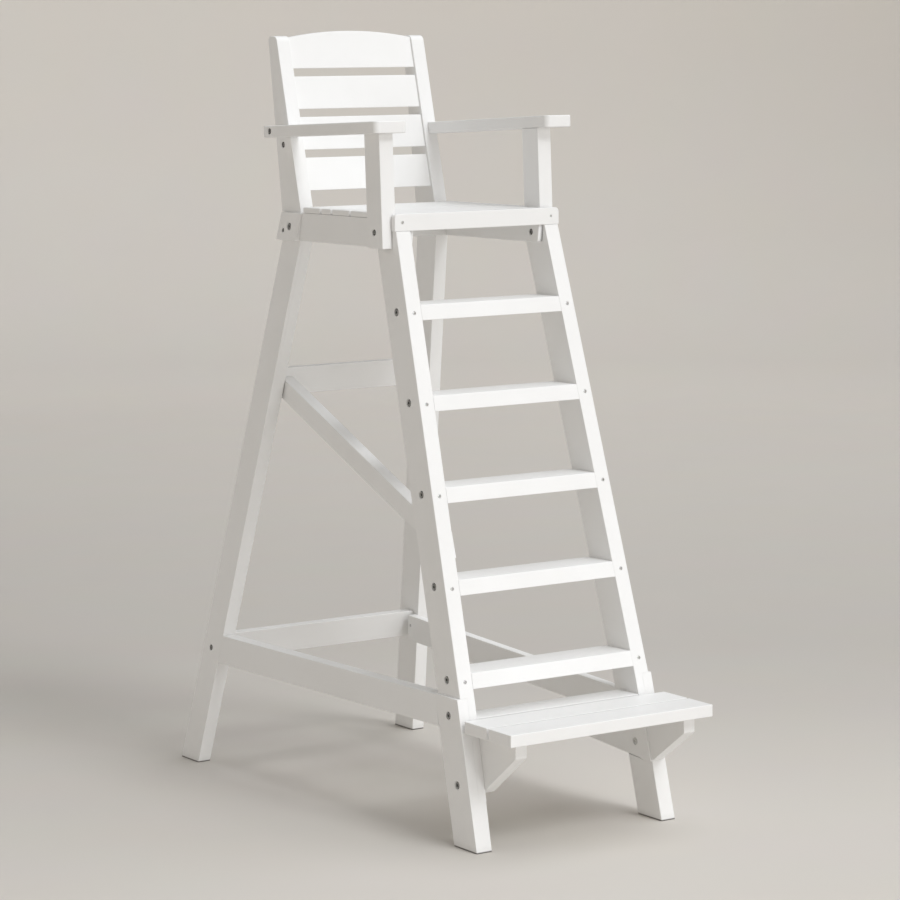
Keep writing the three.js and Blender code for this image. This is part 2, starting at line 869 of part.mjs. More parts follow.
// Back posts: a leaning, tapering upright with a tang that laps the rear leg
function makeBackPost(side, cutters) {
  const top = seatLevel + postRise;
  const upright = sideBoard(
    side,
    outlineOf([
      [postFront.at(seatLevel), seatLevel],
      [postRear.at(seatLevel), seatLevel],
      [postRear.at(top), top, postTopRadius],
      [postFront.at(top), top, postTopRadius],
    ]),
    flat(postInnerHalf),
    flat(postOuterHalf),
  );
  const tang = sideBoard(
    side,
    outlineOf([
      [rearLegFront.at(railBottom), railBottom],
      [rearLegRear.at(railBottom), railBottom],
      [rearLegRear.at(seatLevel), seatLevel],
      [postFront.at(seatLevel) + overrun, seatLevel + overrun],
      [postFront.at(seatLevel), seatLevel],
    ]),
    flat(postInnerHalf),
    flat(postLapHalf),
  );
  const post = cutters.reduce((solid, cutter) => solid.subtract(cutter), upright.add(tang));
  addPiece(`${sideNames.get(side)}_back_post`, post);
}

// Back slats from the top down, tenoned into the posts. The top one is arched.
function backSlatOutline(half, bottom, top, rise) {
  if (rise === 0) return rectangle(-half, half, bottom, top);
  const radius = (half * half + rise * rise) / (2 * rise);
  const centre = top + rise - radius;
  const swing = Math.asin(half / radius);
  const shape = new THREE.Shape();
  shape.moveTo(-half, bottom);
  shape.lineTo(half, bottom);
  shape.absarc(0, centre, radius, Math.PI / 2 - swing, Math.PI / 2 + swing, false);
  shape.closePath();
  return shape;
}

function makeBackSlats() {
  const front = (x, z) => postFront.at(z) + backSlatRecess;
  const rear = (x, z) => front(x, z) + backSlatThickness;
  const inset = tenonShoulder / 2;
  const postTop = seatLevel + postRise;
  const mortises = [];
  for (let i = 0; i < backSlatCount; i += 1) {
    const place = postTop - i * (backSlatHeight + backSlatGap);
    const top = i === 0 ? place - backSlatTopDrop : place;
    const bottom = place - backSlatHeight;
    const half = postInnerHalf - jointGap;
    const tenonHalf = postInnerHalf + tenonLength;
    const rise = i === 0 ? backArchRise : 0;
    const low = bottom + 2 * tenonShoulder;
    const high = top - 2 * tenonShoulder;
    const body = board("y", backSlatOutline(half, bottom, top, rise), front, rear, archSteps);
    const tenon = board(
      "y",
      rectangle(-tenonHalf, tenonHalf, low, high),
      (x, z) => front(x, z) + inset,
      (x, z) => rear(x, z) - inset,
    );
    mortises.push(
      board(
        "y",
        rectangle(-tenonHalf - jointGap, tenonHalf + jointGap, low - jointGap, high + jointGap),
        (x, z) => front(x, z) + inset - jointGap,
        (x, z) => rear(x, z) - inset + jointGap,
      ),
    );
    addPiece(`back_slat_${i + 1}`, body.add(tenon));
  }
  return mortises;
}

// Corner blocks on the outside of the rear legs, level with the seat rails
function makeCornerBlock(side, cutter) {
  const rear = rearLegRear.moved(blockTail);
  const outline = outlineOf([
    [rearLegFront.at(railBottom), railBottom, blockCornerRadius],
    [rear.at(railBottom), railBottom, blockCornerRadius],
    [rear.at(railTop), railTop, blockCornerRadius],
    [rearLegFront.at(railTop), railTop, blockCornerRadius],
  ]);
  const block = sideBoard(
    side,
    outline,
    byHeight(rearLegOuter, jointGap),
    byHeight(rearLegOuter, jointGap + blockThickness),
  );
  addPiece(`${sideNames.get(side)}_corner_block`, block.subtract(cutter));
}

// Armrests, notched round the back posts
function makeArmrest(side) {
  const front = seatFront - armOverhangs[side];
  const rear = rearLegFrontAtSeat + armRearReaches[side];
  const inner = side * armInnerHalf;
  const outer = side * (armInnerHalf + armWidths[side]);
  const frontRadius = Math.min(armCornerRadius, armWidths[side] / 2);
  const outline = outlineOf([
    [inner, front, frontRadius],
    [outer, front, frontRadius],
    [outer, rear, armRearCornerRadius],
    [inner, rear],
  ]);
  const top = armTop(side);
  const bottom = armBottom(side);
  const blank = board("z", outline, (x, y) => bottom.at(y), (x, y) => top.at(y));
  const notch = sideBoard(
    side,
    rakedOutline(
      postFront.moved(-jointGap),
      postRear.moved(overrun),
      bottom.at(rear) - overrun,
      top.at(front) + overrun,
    ),
    flat(0),
    flat(postOuterHalf + jointGap),
  );
  addPiece(`${sideNames.get(side)}_armrest`, blank.subtract(notch));
}

// Footrest boards: two in front of the legs, and one between the stiles
const middleBoardRear = lowerLegFront.at(footrestBottom) - footBoardSetoff;
const middleBoardFront = middleBoardRear - footBoardWidth;
const frontBoardFront = middleBoardFront - footBoardGap - footBoardWidth;

function makeFootrestBoards() {
  const addBoard = (number, front, rear) => {
    const outline = rectangle(footrestLeft, footrestRight, front, rear);
    addPiece(`footrest_board_${number}`, board("z", outline, flat(footrestBottom), flat(footrestTop)));
  };
  addBoard(1, frontBoardFront, frontBoardFront + footBoardWidth);
  addBoard(2, middleBoardFront, middleBoardRear);
  const rear = new Line(middleBoardRear + rearBoardSetback, 0);
  const outline = rakedOutline(rear.moved(-rearBoardWidth), rear, footrestBottom, footrestTop);
  addPiece("footrest_board_3", crossBoard(outline, (y, z) => stileInner.at(z) - jointGap));
}

// Footrest brackets: the left one laps the inside of the leg, the right one is a gusset before it
const bracketTop = footrestBottom - jointGap;

function makeLeftBracket() {
  const front = middleBoardRear - leftBracketReach;
  const legFrontAtFoot = lowerLegFront.at(bracketBottom);
  const tail = middleBoardRear + bracketTail;
  const outline = outlineOf([
    [front, bracketTop],
    [front, bracketTop - bracketNoseHeight, bracketNoseRadius],
    [legFrontAtFoot + bracketFootWidth / 2, bracketBottom],
    [legFrontAtFoot + 2 * bracketFootWidth, bracketBottom],
    [tail, bracketTop - bracketNoseHeight],
    [tail, bracketTop],
  ]);
  const bracket = sideBoard(
    LEFT,
    outline,
    byHeight(stileInner, -jointGap - bracketThickness),
    byHeight(stileInner, -jointGap),
  );
  addPiece("left_footrest_bracket", bracket);
}

function makeRightBracket() {
  const front = middleBoardRear - rightBracketReach;
  const legFront = lowerLegFront.moved(-jointGap);
  const outline = outlineOf([
    [front, bracketTop],
    [front, bracketTop - bracketNoseHeight, bracketNoseRadius],
    [legFront.at(gussetBottom) - gussetFootWidth, gussetBottom],
    [legFront.at(gussetBottom), gussetBottom],
    [legFront.at(bracketTop), bracketTop],
  ]);
  const gusset = sideBoard(
    RIGHT,
    outline,
    byHeight(lowerLegInner[RIGHT]),
    byHeight(lowerLegInner[RIGHT], bracketThickness),
  );
  addPiece("right_footrest_bracket", gusset);
}

// The bearer of the right side, let into the inside of the leg behind the front strip of the tang
function bearerBlank(grow, inner) {
  const front = tangStripRear.moved(jointGap - grow);
  const rear = new Line(middleBoardRear + bearerTail, 0);
  const lowest = Line.through(bearerBottom, tangStripRear.at(bearerBottom), bearerRiseDegrees);
  const bottomLine = lowest.moved(-grow);
  const top = bearerTop + grow;
  const outline = outlineOf([
    front.crossing(bottomLine),
    rear.crossing(bottomLine),
    [rear.at(top), top],
    [front.at(top), top],
  ]);
  const outer = byHeight(stileInner, bearerInset + bearerThickness + grow);
  return sideBoard(RIGHT, outline, byHeight(stileInner, inner), outer);
}

// Assembly
makeRungs();
const rearRails = [rearCrossRail(upperRearRailBottom), rearCrossRail(lowerRearRailBottom)];
addPiece("upper_rear_rail", rearRails[0].solid);
addPiece("lower_rear_rail", rearRails[1].solid);
const stretchers = { [LEFT]: leftStretcher(), [RIGHT]: rightStretcher() };
const seatApron = rearApron();
addPiece("rear_apron", seatApron.solid);
const backMortises = makeBackSlats();

[LEFT, RIGHT].forEach((side) => {
  const name = sideNames.get(side);
  const legBolts = spliceBolts(side);
  const legBoltCutters = legBolts.map((bolt) => bolt.cutter);
  legBolts.forEach((bolt) => addPiece(`${name}_leg_bolt_${bolt.label}`, bolt.solid, steel));
  const seatBolt = postBolt(side);
  addPiece(`${name}_post_bolt`, seatBolt.solid, steel);
  const stretcher = stretchers[side];
  addPiece(`${name}_side_stretcher`, stretcher.solid);

  const postMortise = side === RIGHT ? [rightPostTenon(jointGap)] : [];
  const bearerHousing = side === RIGHT ? [bearerBlank(jointGap, -overrun)] : [];
  makeStile(side, [
    ...rungs.map((rung) => rung.mortise),
    ...rungBolts[side].map((bolt) => bolt.cutter),
    ...legBoltCutters,
    ...postMortise,
    stretcher.mortise,
  ]);
  makeLowerLeg(side, [...legBoltCutters, ...bearerHousing, stretcher.mortise]);
  makeRearLeg(side, [
    ...rearRails.map((rail) => rail.mortise),
    ...(side === LEFT ? [stretcher.mortise] : []),
    railTenon(side, jointGap),
    seatBolt.cutter,
  ]);
  makeSeatRail(side, seatApron.mortise);
  makeBackPost(side, [...backMortises, seatBolt.cutter]);
  makeCornerBlock(side, seatBolt.cutter);
  makeArmrest(side);
  if (side === RIGHT) {
    const bearer = legBoltCutters.reduce(
      (solid, cutter) => solid.subtract(cutter),
      bearerBlank(0, bearerInset),
    );
    addPiece("right_footrest_bearer", bearer);
  }
});

makeBrace();
makeFrontApron();
makeSeatSlats();
makeLeftArmPost();
makeRightArmPost();
makeFootrestBoards();
makeLeftBracket();
makeRightBracket();

// The box of the chair is centred over the origin: its ends are the footrest and the rear feet.
chair.position.y = -(frontBoardFront + rearLegRear.at(0)) / 2;

export default chair;
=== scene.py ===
"""Looks for the lifeguard chair: painted timber with eased edges, steel fasteners, studio.

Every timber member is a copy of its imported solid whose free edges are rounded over, and which is
bored where a screw sits. Edges that lie against another member stay square, as a joiner leaves
them. The bolts and screws are modelled here with their washers, sockets and recesses.
"""

import logging
import math
from collections.abc import Callable
from dataclasses import dataclass, field
from enum import Enum

import bmesh
import bpy
from mathutils import Euler, Matrix, Vector
from mathutils.bvhtree import BVHTree


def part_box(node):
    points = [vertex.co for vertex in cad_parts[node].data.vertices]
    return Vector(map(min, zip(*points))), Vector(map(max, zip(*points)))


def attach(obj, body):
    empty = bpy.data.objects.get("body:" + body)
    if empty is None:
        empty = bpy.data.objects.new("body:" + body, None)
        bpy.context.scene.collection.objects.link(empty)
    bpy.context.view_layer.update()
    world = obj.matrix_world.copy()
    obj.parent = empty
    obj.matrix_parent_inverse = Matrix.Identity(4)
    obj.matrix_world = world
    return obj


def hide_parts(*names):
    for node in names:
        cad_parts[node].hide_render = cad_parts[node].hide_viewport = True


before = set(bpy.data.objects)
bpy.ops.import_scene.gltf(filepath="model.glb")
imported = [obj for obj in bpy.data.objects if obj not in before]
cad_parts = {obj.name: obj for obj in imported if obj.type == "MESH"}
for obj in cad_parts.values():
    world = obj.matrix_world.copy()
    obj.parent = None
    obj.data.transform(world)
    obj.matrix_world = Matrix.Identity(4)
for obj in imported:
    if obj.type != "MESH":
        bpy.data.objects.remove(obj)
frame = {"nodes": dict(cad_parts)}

BODY = "root"
OUTWARD = Vector((1.0, 0.0, 0.0))
SIDES = {"left": -1.0, "right": 1.0}
MERGE_DISTANCE = 0.00001
RIGHT_ANGLE = math.pi / 2
AHEAD = (0.0, 1.0, 0.0)
MIX_INPUTS = (0, 6, 7)
MIX_RESULT = 2
FLOAT = "NodeSocketFloat"
VECTOR = "NodeSocketVector"

Piece = bpy.types.Object
Socket = bpy.types.NodeSocket
Element = bmesh.types.BMEdge | bmesh.types.BMFace
Span = tuple[float, float]
Triple = tuple[float, float, float]
Colour = tuple[float, float, float, float]

log = logging.getLogger("lifeguard_chair")


class Grain(Enum):
    """The way the fibres of a member run, as its direction in the chair."""

    ACROSS = (1.0, 0.0, 0.0)
    ALONG = (0.0, 1.0, 0.0)
    LEFT_STILE = (0.036, 0.293, 1.0)
    RIGHT_STILE = (-0.036, 0.293, 1.0)
    LEFT_LOWER_LEG = (0.018, 0.247, 1.0)
    RIGHT_LOWER_LEG = (-0.018, 0.247, 1.0)
    LEFT_REAR_LEG = (0.096, -0.249, 1.0)
    RIGHT_REAR_LEG = (-0.096, -0.249, 1.0)
    ARM_POST = (0.0, 0.039, 1.0)
    BACK_POST = (0.0, 0.187, 1.0)
    BRACE = (0.0, 1.0, 0.424)
    LEFT_STRETCHER = (-0.041, 1.0, 0.0)
    RIGHT_STRETCHER = (0.017, 1.0, 0.038)
    ARMREST = (0.0, 1.0, -0.039)


class Drive(Enum):
    """The recess that a tool turns a fastener by."""

    HEX = "hex socket"
    CROSS = "cross recess"


def deselect_all() -> None:
    """Clears the selection, so that an operator acts only on what is picked next."""
    if bpy.context.mode != "OBJECT":
        bpy.ops.object.mode_set(mode="OBJECT")
    bpy.ops.object.select_all(action="DESELECT")


def pick(piece: Piece) -> None:
    """Makes one piece the only selected and active object.

    Args:
        piece: The piece.
    """
    deselect_all()
    piece.select_set(True)
    bpy.context.view_layer.objects.active = piece


def join(pieces: list[Piece]) -> Piece:
    """Joins pieces into the first one.

    Args:
        pieces: The pieces, the one that stays first.

    Returns:
        The joined piece.
    """
    pick(pieces[0])
    for piece in pieces:
        piece.select_set(True)
    bpy.ops.object.join()
    return pieces[0]


def apply_modifier(piece: Piece, kind: str, **settings: object) -> None:
    """Adds a modifier to a piece and applies it.

    Args:
        piece: The piece to change.
        kind: The modifier's type.
        settings: The modifier's own settings.
    """
    pick(piece)
    modifier = piece.modifiers.new(kind.title(), kind)
    for name, value in settings.items():
        setattr(modifier, name, value)
    bpy.ops.object.modifier_apply(modifier=modifier.name)


def apply_place(piece: Piece) -> None:
    """Moves a piece's place into its mesh, so that its object sits at the origin."""
    pick(piece)
    bpy.ops.object.transform_apply(location=True, rotation=True, scale=True)


def twin(piece: Piece, name: str) -> Piece:
    """Copies a piece with a mesh of its own.

    Args:
        piece: The piece to copy.
        name: The copy's name.

    Returns:
        The copy.
    """
    copy = bpy.data.objects.new(name, piece.data.copy())
    copy.data.name = name
    bpy.context.scene.collection.objects.link(copy)
    return copy


def select_where(piece: Piece, kind: str, wanted: Callable[[Element], bool]) -> None:
    """Selects what passes a test, in edit mode.

    Args:
        piece: The piece that is being edited.
        kind: The select mode, which is EDGE or FACE.
        wanted: The test for one edge or face.
    """
    bpy.ops.mesh.select_mode(type=kind)
    bpy.ops.mesh.select_all(action="DESELECT")
    shape = bmesh.from_edit_mesh(piece.data)
    for element in shape.edges if kind == "EDGE" else shape.faces:
        element.select_set(wanted(element))
    bmesh.update_edit_mesh(piece.data)


def rod(name: str, radius: float, low: float, high: float, sides: int) -> Piece:
    """Models a round rod along X, as the start of a fastener.

    Args:
        name: The rod's name.
        radius: Its radius.
        low: Where it starts.
        high: Where it ends.
        sides: How many sides it has.

    Returns:
        The rod.
    """
    deselect_all()
    bpy.ops.mesh.primitive_cylinder_add(
        vertices=sides,
        radius=radius,
        depth=high - low,
        location=OUTWARD * (low + high) / 2,
        rotation=(0.0, RIGHT_ANGLE, 0.0),
    )
    made = bpy.context.active_object
    made.name = name
    apply_place(made)
    return made


def turn_to(piece: Piece, place: Vector, outward: Vector) -> None:
    """Sets a fastener that was modelled along +X at its place in the chair.

    Args:
        piece: The fastener, with its seat at the origin.
        place: Where its seat goes.
        outward: The way its head faces.
    """
    turn = OUTWARD.rotation_difference(outward).to_matrix().to_4x4()
    piece.matrix_world = Matrix.Translation(place) @ turn
    apply_place(piece)


@dataclass(frozen=True)
class NodeTree:
    """A shader tree that nodes are added to and joined in."""

    tree: bpy.types.NodeTree

    def add(self, kind: str, **settings: object) -> bpy.types.Node:
        """Adds a node.

        Args:
            kind: The node's type.
            settings: Properties, or input sockets by name where underscores stand for spaces.

        Returns:
            The new node.
        """
        node = self.tree.nodes.new(kind)
        for name, value in settings.items():
            if hasattr(node, name):
                setattr(node, name, value)
            else:
                node.inputs[name.replace("_", " ").title()].default_value = value
        return node

    def link(self, source: Socket, target: Socket) -> None:
        """Joins an output to an input."""
        self.tree.links.new(source, target)

    def maths(self, operation: str, first: object, second: object) -> Socket:
        """Adds a Math node on two sockets or numbers.

        Args:
            operation: The node's operation.
            first: A socket or a number.
            second: A socket or a number.

        Returns:
            The node's output.
        """
        node = self.add("ShaderNodeMath", operation=operation)
        for socket, value in zip(node.inputs, (first, second)):
            if isinstance(value, Socket):
                self.link(value, socket)
            else:
                socket.default_value = value
        return node.outputs["Value"]

    def mix(self, share: object, first: object, second: object, blend: str = "MIX") -> Socket:
        """Adds a colour Mix node.

        Args:
            share: The socket or number that says how much of the second colour shows.
            first: The first colour or its socket.
            second: The second colour or its socket.
            blend: The blend type.

        Returns:
            The mixed colour.
        """
        node = self.add("ShaderNodeMix", data_type="RGBA", blend_type=blend)
        sockets = [node.inputs[index] for index in MIX_INPUTS]
        for socket, value in zip(sockets, (share, first, second)):
            if isinstance(value, Socket):
                self.link(value, socket)
            else:
                socket.default_value = value
        return node.outputs[MIX_RESULT]

    def ramp(self, source: Socket, stops: list[tuple[float, Colour]]) -> Socket:
        """Adds a Color Ramp.

        Args:
            source: What the ramp reads.
            stops: Places with their colours, lowest first.

        Returns:
            The ramp's colour.
        """
        node = self.add("ShaderNodeValToRGB")
        elements = node.color_ramp.elements
        last_place, _ = stops[-1]
        while len(elements) < len(stops):
            elements.new(last_place)
        for element, (place, colour) in zip(elements, stops):
            element.position = place
            element.color = colour
        self.link(source, node.inputs["Fac"])
        return node.outputs["Color"]

    def greys(self, source: Socket, tones: tuple[Span, ...]) -> Socket:
        """Adds a Color Ramp of plain greys.

        Args:
            source: What the ramp reads.
            tones: Places with their brightness, lowest first.

        Returns:
            The ramp's colour.
        """
        return self.ramp(source, [(place, (tone, tone, tone, 1.0)) for place, tone in tones])

    def noise(
        self, vector: Socket, scale: float, detail: float, **settings: float
    ) -> bpy.types.Node:
        """Adds a Noise Texture.

        Args:
            vector: The coordinates.
            scale: Its scale.
            detail: How many octaves it has.
            settings: Its other inputs.

        Returns:
            The node.
        """
        node = self.add("ShaderNodeTexNoise", Scale=scale, Detail=detail, **settings)
        self.link(vector, node.inputs["Vector"])
        return node

    def fade(self, source: Socket, span: Span, result: Span = (0.0, 1.0)) -> Socket:
        """Adds a clamped Map Range node.

        Args:
            source: What it reads.
            span: The values between which it changes.
            result: What it gives at those values.

        Returns:
            The mapped value.
        """
        node = self.add("ShaderNodeMapRange", clamp=True)
        names = ("From Min", "From Max", "To Min", "To Max")
        for name, value in zip(names, (*span, *result)):
            node.inputs[name].default_value = value
        self.link(source, node.inputs["Value"])
        return node.outputs["Result"]

    def bump(self, height: Socket, strength: float, distance: float) -> Socket:
        """Adds a Bump node.

        Args:
            height: The relief.
            strength: How much of it shows.
            distance: Its depth in metres.

        Returns:
            The normal.
        """
        node = self.add("ShaderNodeBump", Strength=strength, Distance=distance)
        self.link(height, node.inputs["Height"])
        return node.outputs["Normal"]


def new_material(name: str) -> tuple[bpy.types.Material, NodeTree, bpy.types.Node]:
    """Starts a material.

    Args:
        name: The material's name.

    Returns:
        The material, its tree and its Principled shader.
    """
    made = bpy.data.materials.new(name)
    made.use_nodes = True
    return made, NodeTree(made.node_tree), made.node_tree.nodes["Principled BSDF"]


def new_group(
    name: str, inputs: list[tuple[str, str]], outputs: list[tuple[str, str]]
) -> tuple[NodeTree, bpy.types.Node, bpy.types.Node]:
    """Starts a shader node group.

    Args:
        name: The group's name.
        inputs: Names and socket types of what goes in.
        outputs: Names and socket types of what comes out.

    Returns:
        The group's tree, its input node and its output node.
    """
    tree = bpy.data.node_groups.new(name, "ShaderNodeTree")
    for label, kind in inputs:
        tree.interface.new_socket(label, in_out="INPUT", socket_type=kind)
    for label, kind in outputs:
        tree.interface.new_socket(label, in_out="OUTPUT", socket_type=kind)
    nodes = NodeTree(tree)
    return nodes, nodes.add("NodeGroupInput"), nodes.add("NodeGroupOutput")


@dataclass(frozen=True)
class Relief:
    """Fibres, growth rings and brush marks that show through the paint, along X."""

    fibre_scale: Triple = (7.0, 260.0, 260.0)
    ring_scale: Triple = (1.6, 42.0, 42.0)
    brush_scale: Triple = (16.0, 900.0, 900.0)
    cloud_scale: float = 4.5
    fibre_share: float = 0.5
    ring_share: float = 0.3
    brush_share: float = 0.2
    noise_scale: float = 1.0
    detail: float = 5.0
    roughness: float = 0.6
    distortion: float = 0.25
    cloud_detail: float = 3.0
    pore_scale: float = 420.0

    def stretched(self, nodes: NodeTree, source: Socket, scale: Triple) -> Socket:
        """Adds noise that is drawn out along the grain.

        Args:
            nodes: The tree to add to.
            source: The coordinates, with the grain along X.
            scale: Waves per metre along X, Y and Z.

        Returns:
            The noise's value.
        """
        mapping = nodes.add("ShaderNodeMapping", Scale=scale)
        nodes.link(source, mapping.inputs["Vector"])
        noise = nodes.noise(
            mapping.outputs["Vector"],
            self.noise_scale,
            self.detail,
            Roughness=self.roughness,
            Distortion=self.distortion,
        )
        return noise.outputs["Fac"]

    def group(self) -> bpy.types.NodeTree:
        """Builds the node group.

        Returns:
            The group, with Vector and End Grain in, and Height, Fibre and Cloud out.
        """
        nodes, start, end = new_group(
            "Timber relief",
            [("Vector", VECTOR), ("End Grain", FLOAT)],
            [("Height", FLOAT), ("Fibre", FLOAT), ("Cloud", FLOAT)],
        )
        vector = start.outputs["Vector"]
        fibre = self.stretched(nodes, vector, self.fibre_scale)
        rings = self.stretched(nodes, vector, self.ring_scale)
        brush = self.stretched(nodes, vector, self.brush_scale)
        pores = nodes.add("ShaderNodeTexVoronoi", Scale=self.pore_scale)
        nodes.link(vector, pores.inputs["Vector"])
        cloud = nodes.noise(vector, self.cloud_scale, self.cloud_detail)
        long_grain = nodes.maths("MULTIPLY", fibre, self.fibre_share)
        for finer, share in ((rings, self.ring_share), (brush, self.brush_share)):
            long_grain = nodes.maths("ADD", long_grain, nodes.maths("MULTIPLY", finer, share))
        end_mask = start.outputs["End Grain"]
        end_height = nodes.maths("MULTIPLY", pores.outputs["Distance"], end_mask)
        nodes.link(nodes.maths("ADD", long_grain, end_height), end.inputs["Height"])
        nodes.link(fibre, end.inputs["Fibre"])
        nodes.link(cloud.outputs["Fac"], end.inputs["Cloud"])
        return nodes.tree


@dataclass(frozen=True)
class ScuffAndShadow:
    """A faint band of dust that a foot picks up from the ground, and a painted contact shadow
    along its lowest edge.
    """

    share: float = 0.16
    # The next three fields paint a contact shadow: the scuff colour at full strength in the lowest
    # few millimetres of each foot.
    contact_shadow_share: float = 1.0
    contact_shadow_low: float = 0.002
    contact_shadow_top: float = 0.0055
    top: float = 0.03
    ragged: float = 0.02
    scale: float = 55.0
    detail: float = 4.0
    roughness: float = 0.65

    def group(self) -> bpy.types.NodeTree:
        """Builds the node group.

        Returns:
            The group, with Vector in and Mask out.
        """
        nodes, start, end = new_group("Foot scuff", [("Vector", VECTOR)], [("Mask", FLOAT)])
        split = nodes.add("ShaderNodeSeparateXYZ")
        nodes.link(start.outputs["Vector"], split.inputs["Vector"])
        noise = nodes.noise(
            start.outputs["Vector"], self.scale, self.detail, Roughness=self.roughness
        )
        ragged = nodes.maths("MULTIPLY", noise.outputs["Fac"], self.ragged)
        height = nodes.maths("ADD", split.outputs["Z"], ragged)
        dust = nodes.fade(height, (0.0, self.top), (self.share, 0.0))
        # Painted contact shadow: full darkness at the foot's lowest edge, fading out a few
        # millimetres up.
        edge = nodes.fade(
            split.outputs["Z"], (self.contact_shadow_low, self.contact_shadow_top), (self.contact_shadow_share, 0.0)
        )
        # The mask is the dust band or the painted contact shadow, whichever is stronger.
        nodes.link(nodes.maths("MAXIMUM", dust, edge), end.inputs["Mask"])
        return nodes.tree


@dataclass(frozen=True)
class PaintedTimber:
    """White satin paint on planed timber."""

    paint: Colour = (0.902, 0.9, 0.893, 1.0)
    shade: Colour = (0.872, 0.869, 0.858, 1.0)
    # Near-black of the foot dust, also used for the painted contact shadow at the feet's lowest
    # edge.
    scuff_and_shadow: Colour = (0.1, 0.09, 0.08, 1.0)
    fibre_share: float = 0.1
    roughness: Span = (0.42, 0.56)
    relief_depth: float = 0.0005
    relief_strength: float = 0.32
    end_start: float = 0.86
    specular: float = 0.4
    tone_span: Span = (0.35, 0.75)
    gloss_span: Span = (0.3, 0.7)

    def end_mask(self, nodes: NodeTree, grain: Grain) -> Socket:
        """Adds the mask that is 1 where the fibres are cut across.

        Args:
            nodes: The tree to add to.
            grain: The way the fibres run.

        Returns:
            The mask.
        """
        geometry = nodes.add("ShaderNodeNewGeometry")
        facing = nodes.add("ShaderNodeVectorMath", operation="DOT_PRODUCT")
        nodes.link(geometry.outputs["Normal"], facing.inputs[0])
        facing.inputs[1].default_value = Vector(grain.value).normalized()
        size = nodes.maths("ABSOLUTE", facing.outputs["Value"], 0.0)
        return nodes.fade(size, (self.end_start, 1.0))

    def material(
        self, grain: Grain, relief: bpy.types.NodeTree, scuff_and_shadow: bpy.types.NodeTree
    ) -> bpy.types.Material:
        """Builds the paint for members whose fibres run one way.

        Args:
            grain: The way the fibres run.
            relief: The timber relief group.
            scuff_and_shadow: The group that paints foot dust and a contact shadow.

        Returns:
            The material.
        """
        made, nodes, shader = new_material(f"white_paint_{grain.name.lower()}")
        shader.inputs["Specular IOR Level"].default_value = self.specular
        coordinates = nodes.add("ShaderNodeTexCoord")
        turn = Vector(grain.value).rotation_difference(OUTWARD).to_euler()
        mapping = nodes.add("ShaderNodeMapping", Rotation=turn)
        nodes.link(coordinates.outputs["Object"], mapping.inputs["Vector"])
        surface = nodes.add("ShaderNodeGroup", node_tree=relief)
        nodes.link(mapping.outputs["Vector"], surface.inputs["Vector"])
        nodes.link(self.end_mask(nodes, grain), surface.inputs["End Grain"])
        # Darkens the feet with a faint band of dust and a painted contact shadow along their
        # lowest edge.
        dust = nodes.add("ShaderNodeGroup", node_tree=scuff_and_shadow)
        nodes.link(coordinates.outputs["Object"], dust.inputs["Vector"])
        fibre = nodes.maths("MULTIPLY", surface.outputs["Fibre"], self.fibre_share)
        tone = nodes.maths("ADD", surface.outputs["Cloud"], fibre)
        start, end = self.tone_span
        body = nodes.ramp(tone, [(start, self.paint), (end, self.shade)])
        dusty_and_shaded = nodes.mix(dust.outputs["Mask"], body, self.scuff_and_shadow)
        nodes.link(dusty_and_shaded, shader.inputs["Base Color"])
        height = surface.outputs["Height"]
        nodes.link(nodes.fade(height, self.gloss_span, self.roughness), shader.inputs["Roughness"])
        normal = nodes.bump(height, self.relief_strength, self.relief_depth)
        nodes.link(normal, shader.inputs["Normal"])
        return made


@dataclass(frozen=True)
class Steel:
    """Coated steel that has dulled outdoors."""

    name: str = "zinc_plated_steel"
    bright: Colour = (0.74, 0.74, 0.73, 1.0)
    dull: Colour = (0.5, 0.5, 0.49, 1.0)
    metallic: float = 1.0
    spangle_scale: float = 620.0
    fleck_share: float = 0.12
    patina_scale: float = 210.0
    patina_detail: float = 5.0
    patina_roughness: float = 0.6
    tone_span: Span = (0.3, 0.7)
    roughness: Span = (0.3, 0.5)
    relief_depth: float = 0.0001
    relief_strength: float = 0.35

    def material(self) -> bpy.types.Material:
        """Builds the finish.

        Returns:
            The material.
        """
        made, nodes, shader = new_material(self.name)
        shader.inputs["Metallic"].default_value = self.metallic
        place = nodes.add("ShaderNodeTexCoord").outputs["Object"]
        spangle = nodes.add("ShaderNodeTexVoronoi", Scale=self.spangle_scale)
        nodes.link(place, spangle.inputs["Vector"])
        patina = nodes.noise(
            place, self.patina_scale, self.patina_detail, Roughness=self.patina_roughness
        ).outputs["Fac"]
        start, end = self.tone_span
        tone = nodes.ramp(patina, [(start, self.dull), (end, self.bright)])
        flecks = nodes.mix(self.fleck_share, tone, spangle.outputs["Color"], "OVERLAY")
        nodes.link(flecks, shader.inputs["Base Color"])
        nodes.link(nodes.fade(patina, (0.0, 1.0), self.roughness), shader.inputs["Roughness"])
        facets = spangle.outputs["Distance"]
        normal = nodes.bump(facets, self.relief_strength, self.relief_depth)
        nodes.link(normal, shader.inputs["Normal"])
        return made


class Metal(Enum):
    """The finishes of the fasteners."""

    ZINC = Steel()
    WEATHERED = Steel("weathered_steel", (0.42, 0.42, 0.41, 1.0), (0.2, 0.2, 0.195, 1.0))
    # Near-black washer steel: a blackened washer whose darkness paints the shade in the gap
    # between a head and the wall of its recess.
    BLACK = Steel("blackened_steel_as_shade", (0.05, 0.05, 0.048, 1.0), (0.02, 0.02, 0.02, 1.0))
    PAINTED = Steel("painted_steel", (0.72, 0.71, 0.69, 1.0), (0.6, 0.59, 0.57, 1.0), 0.0)


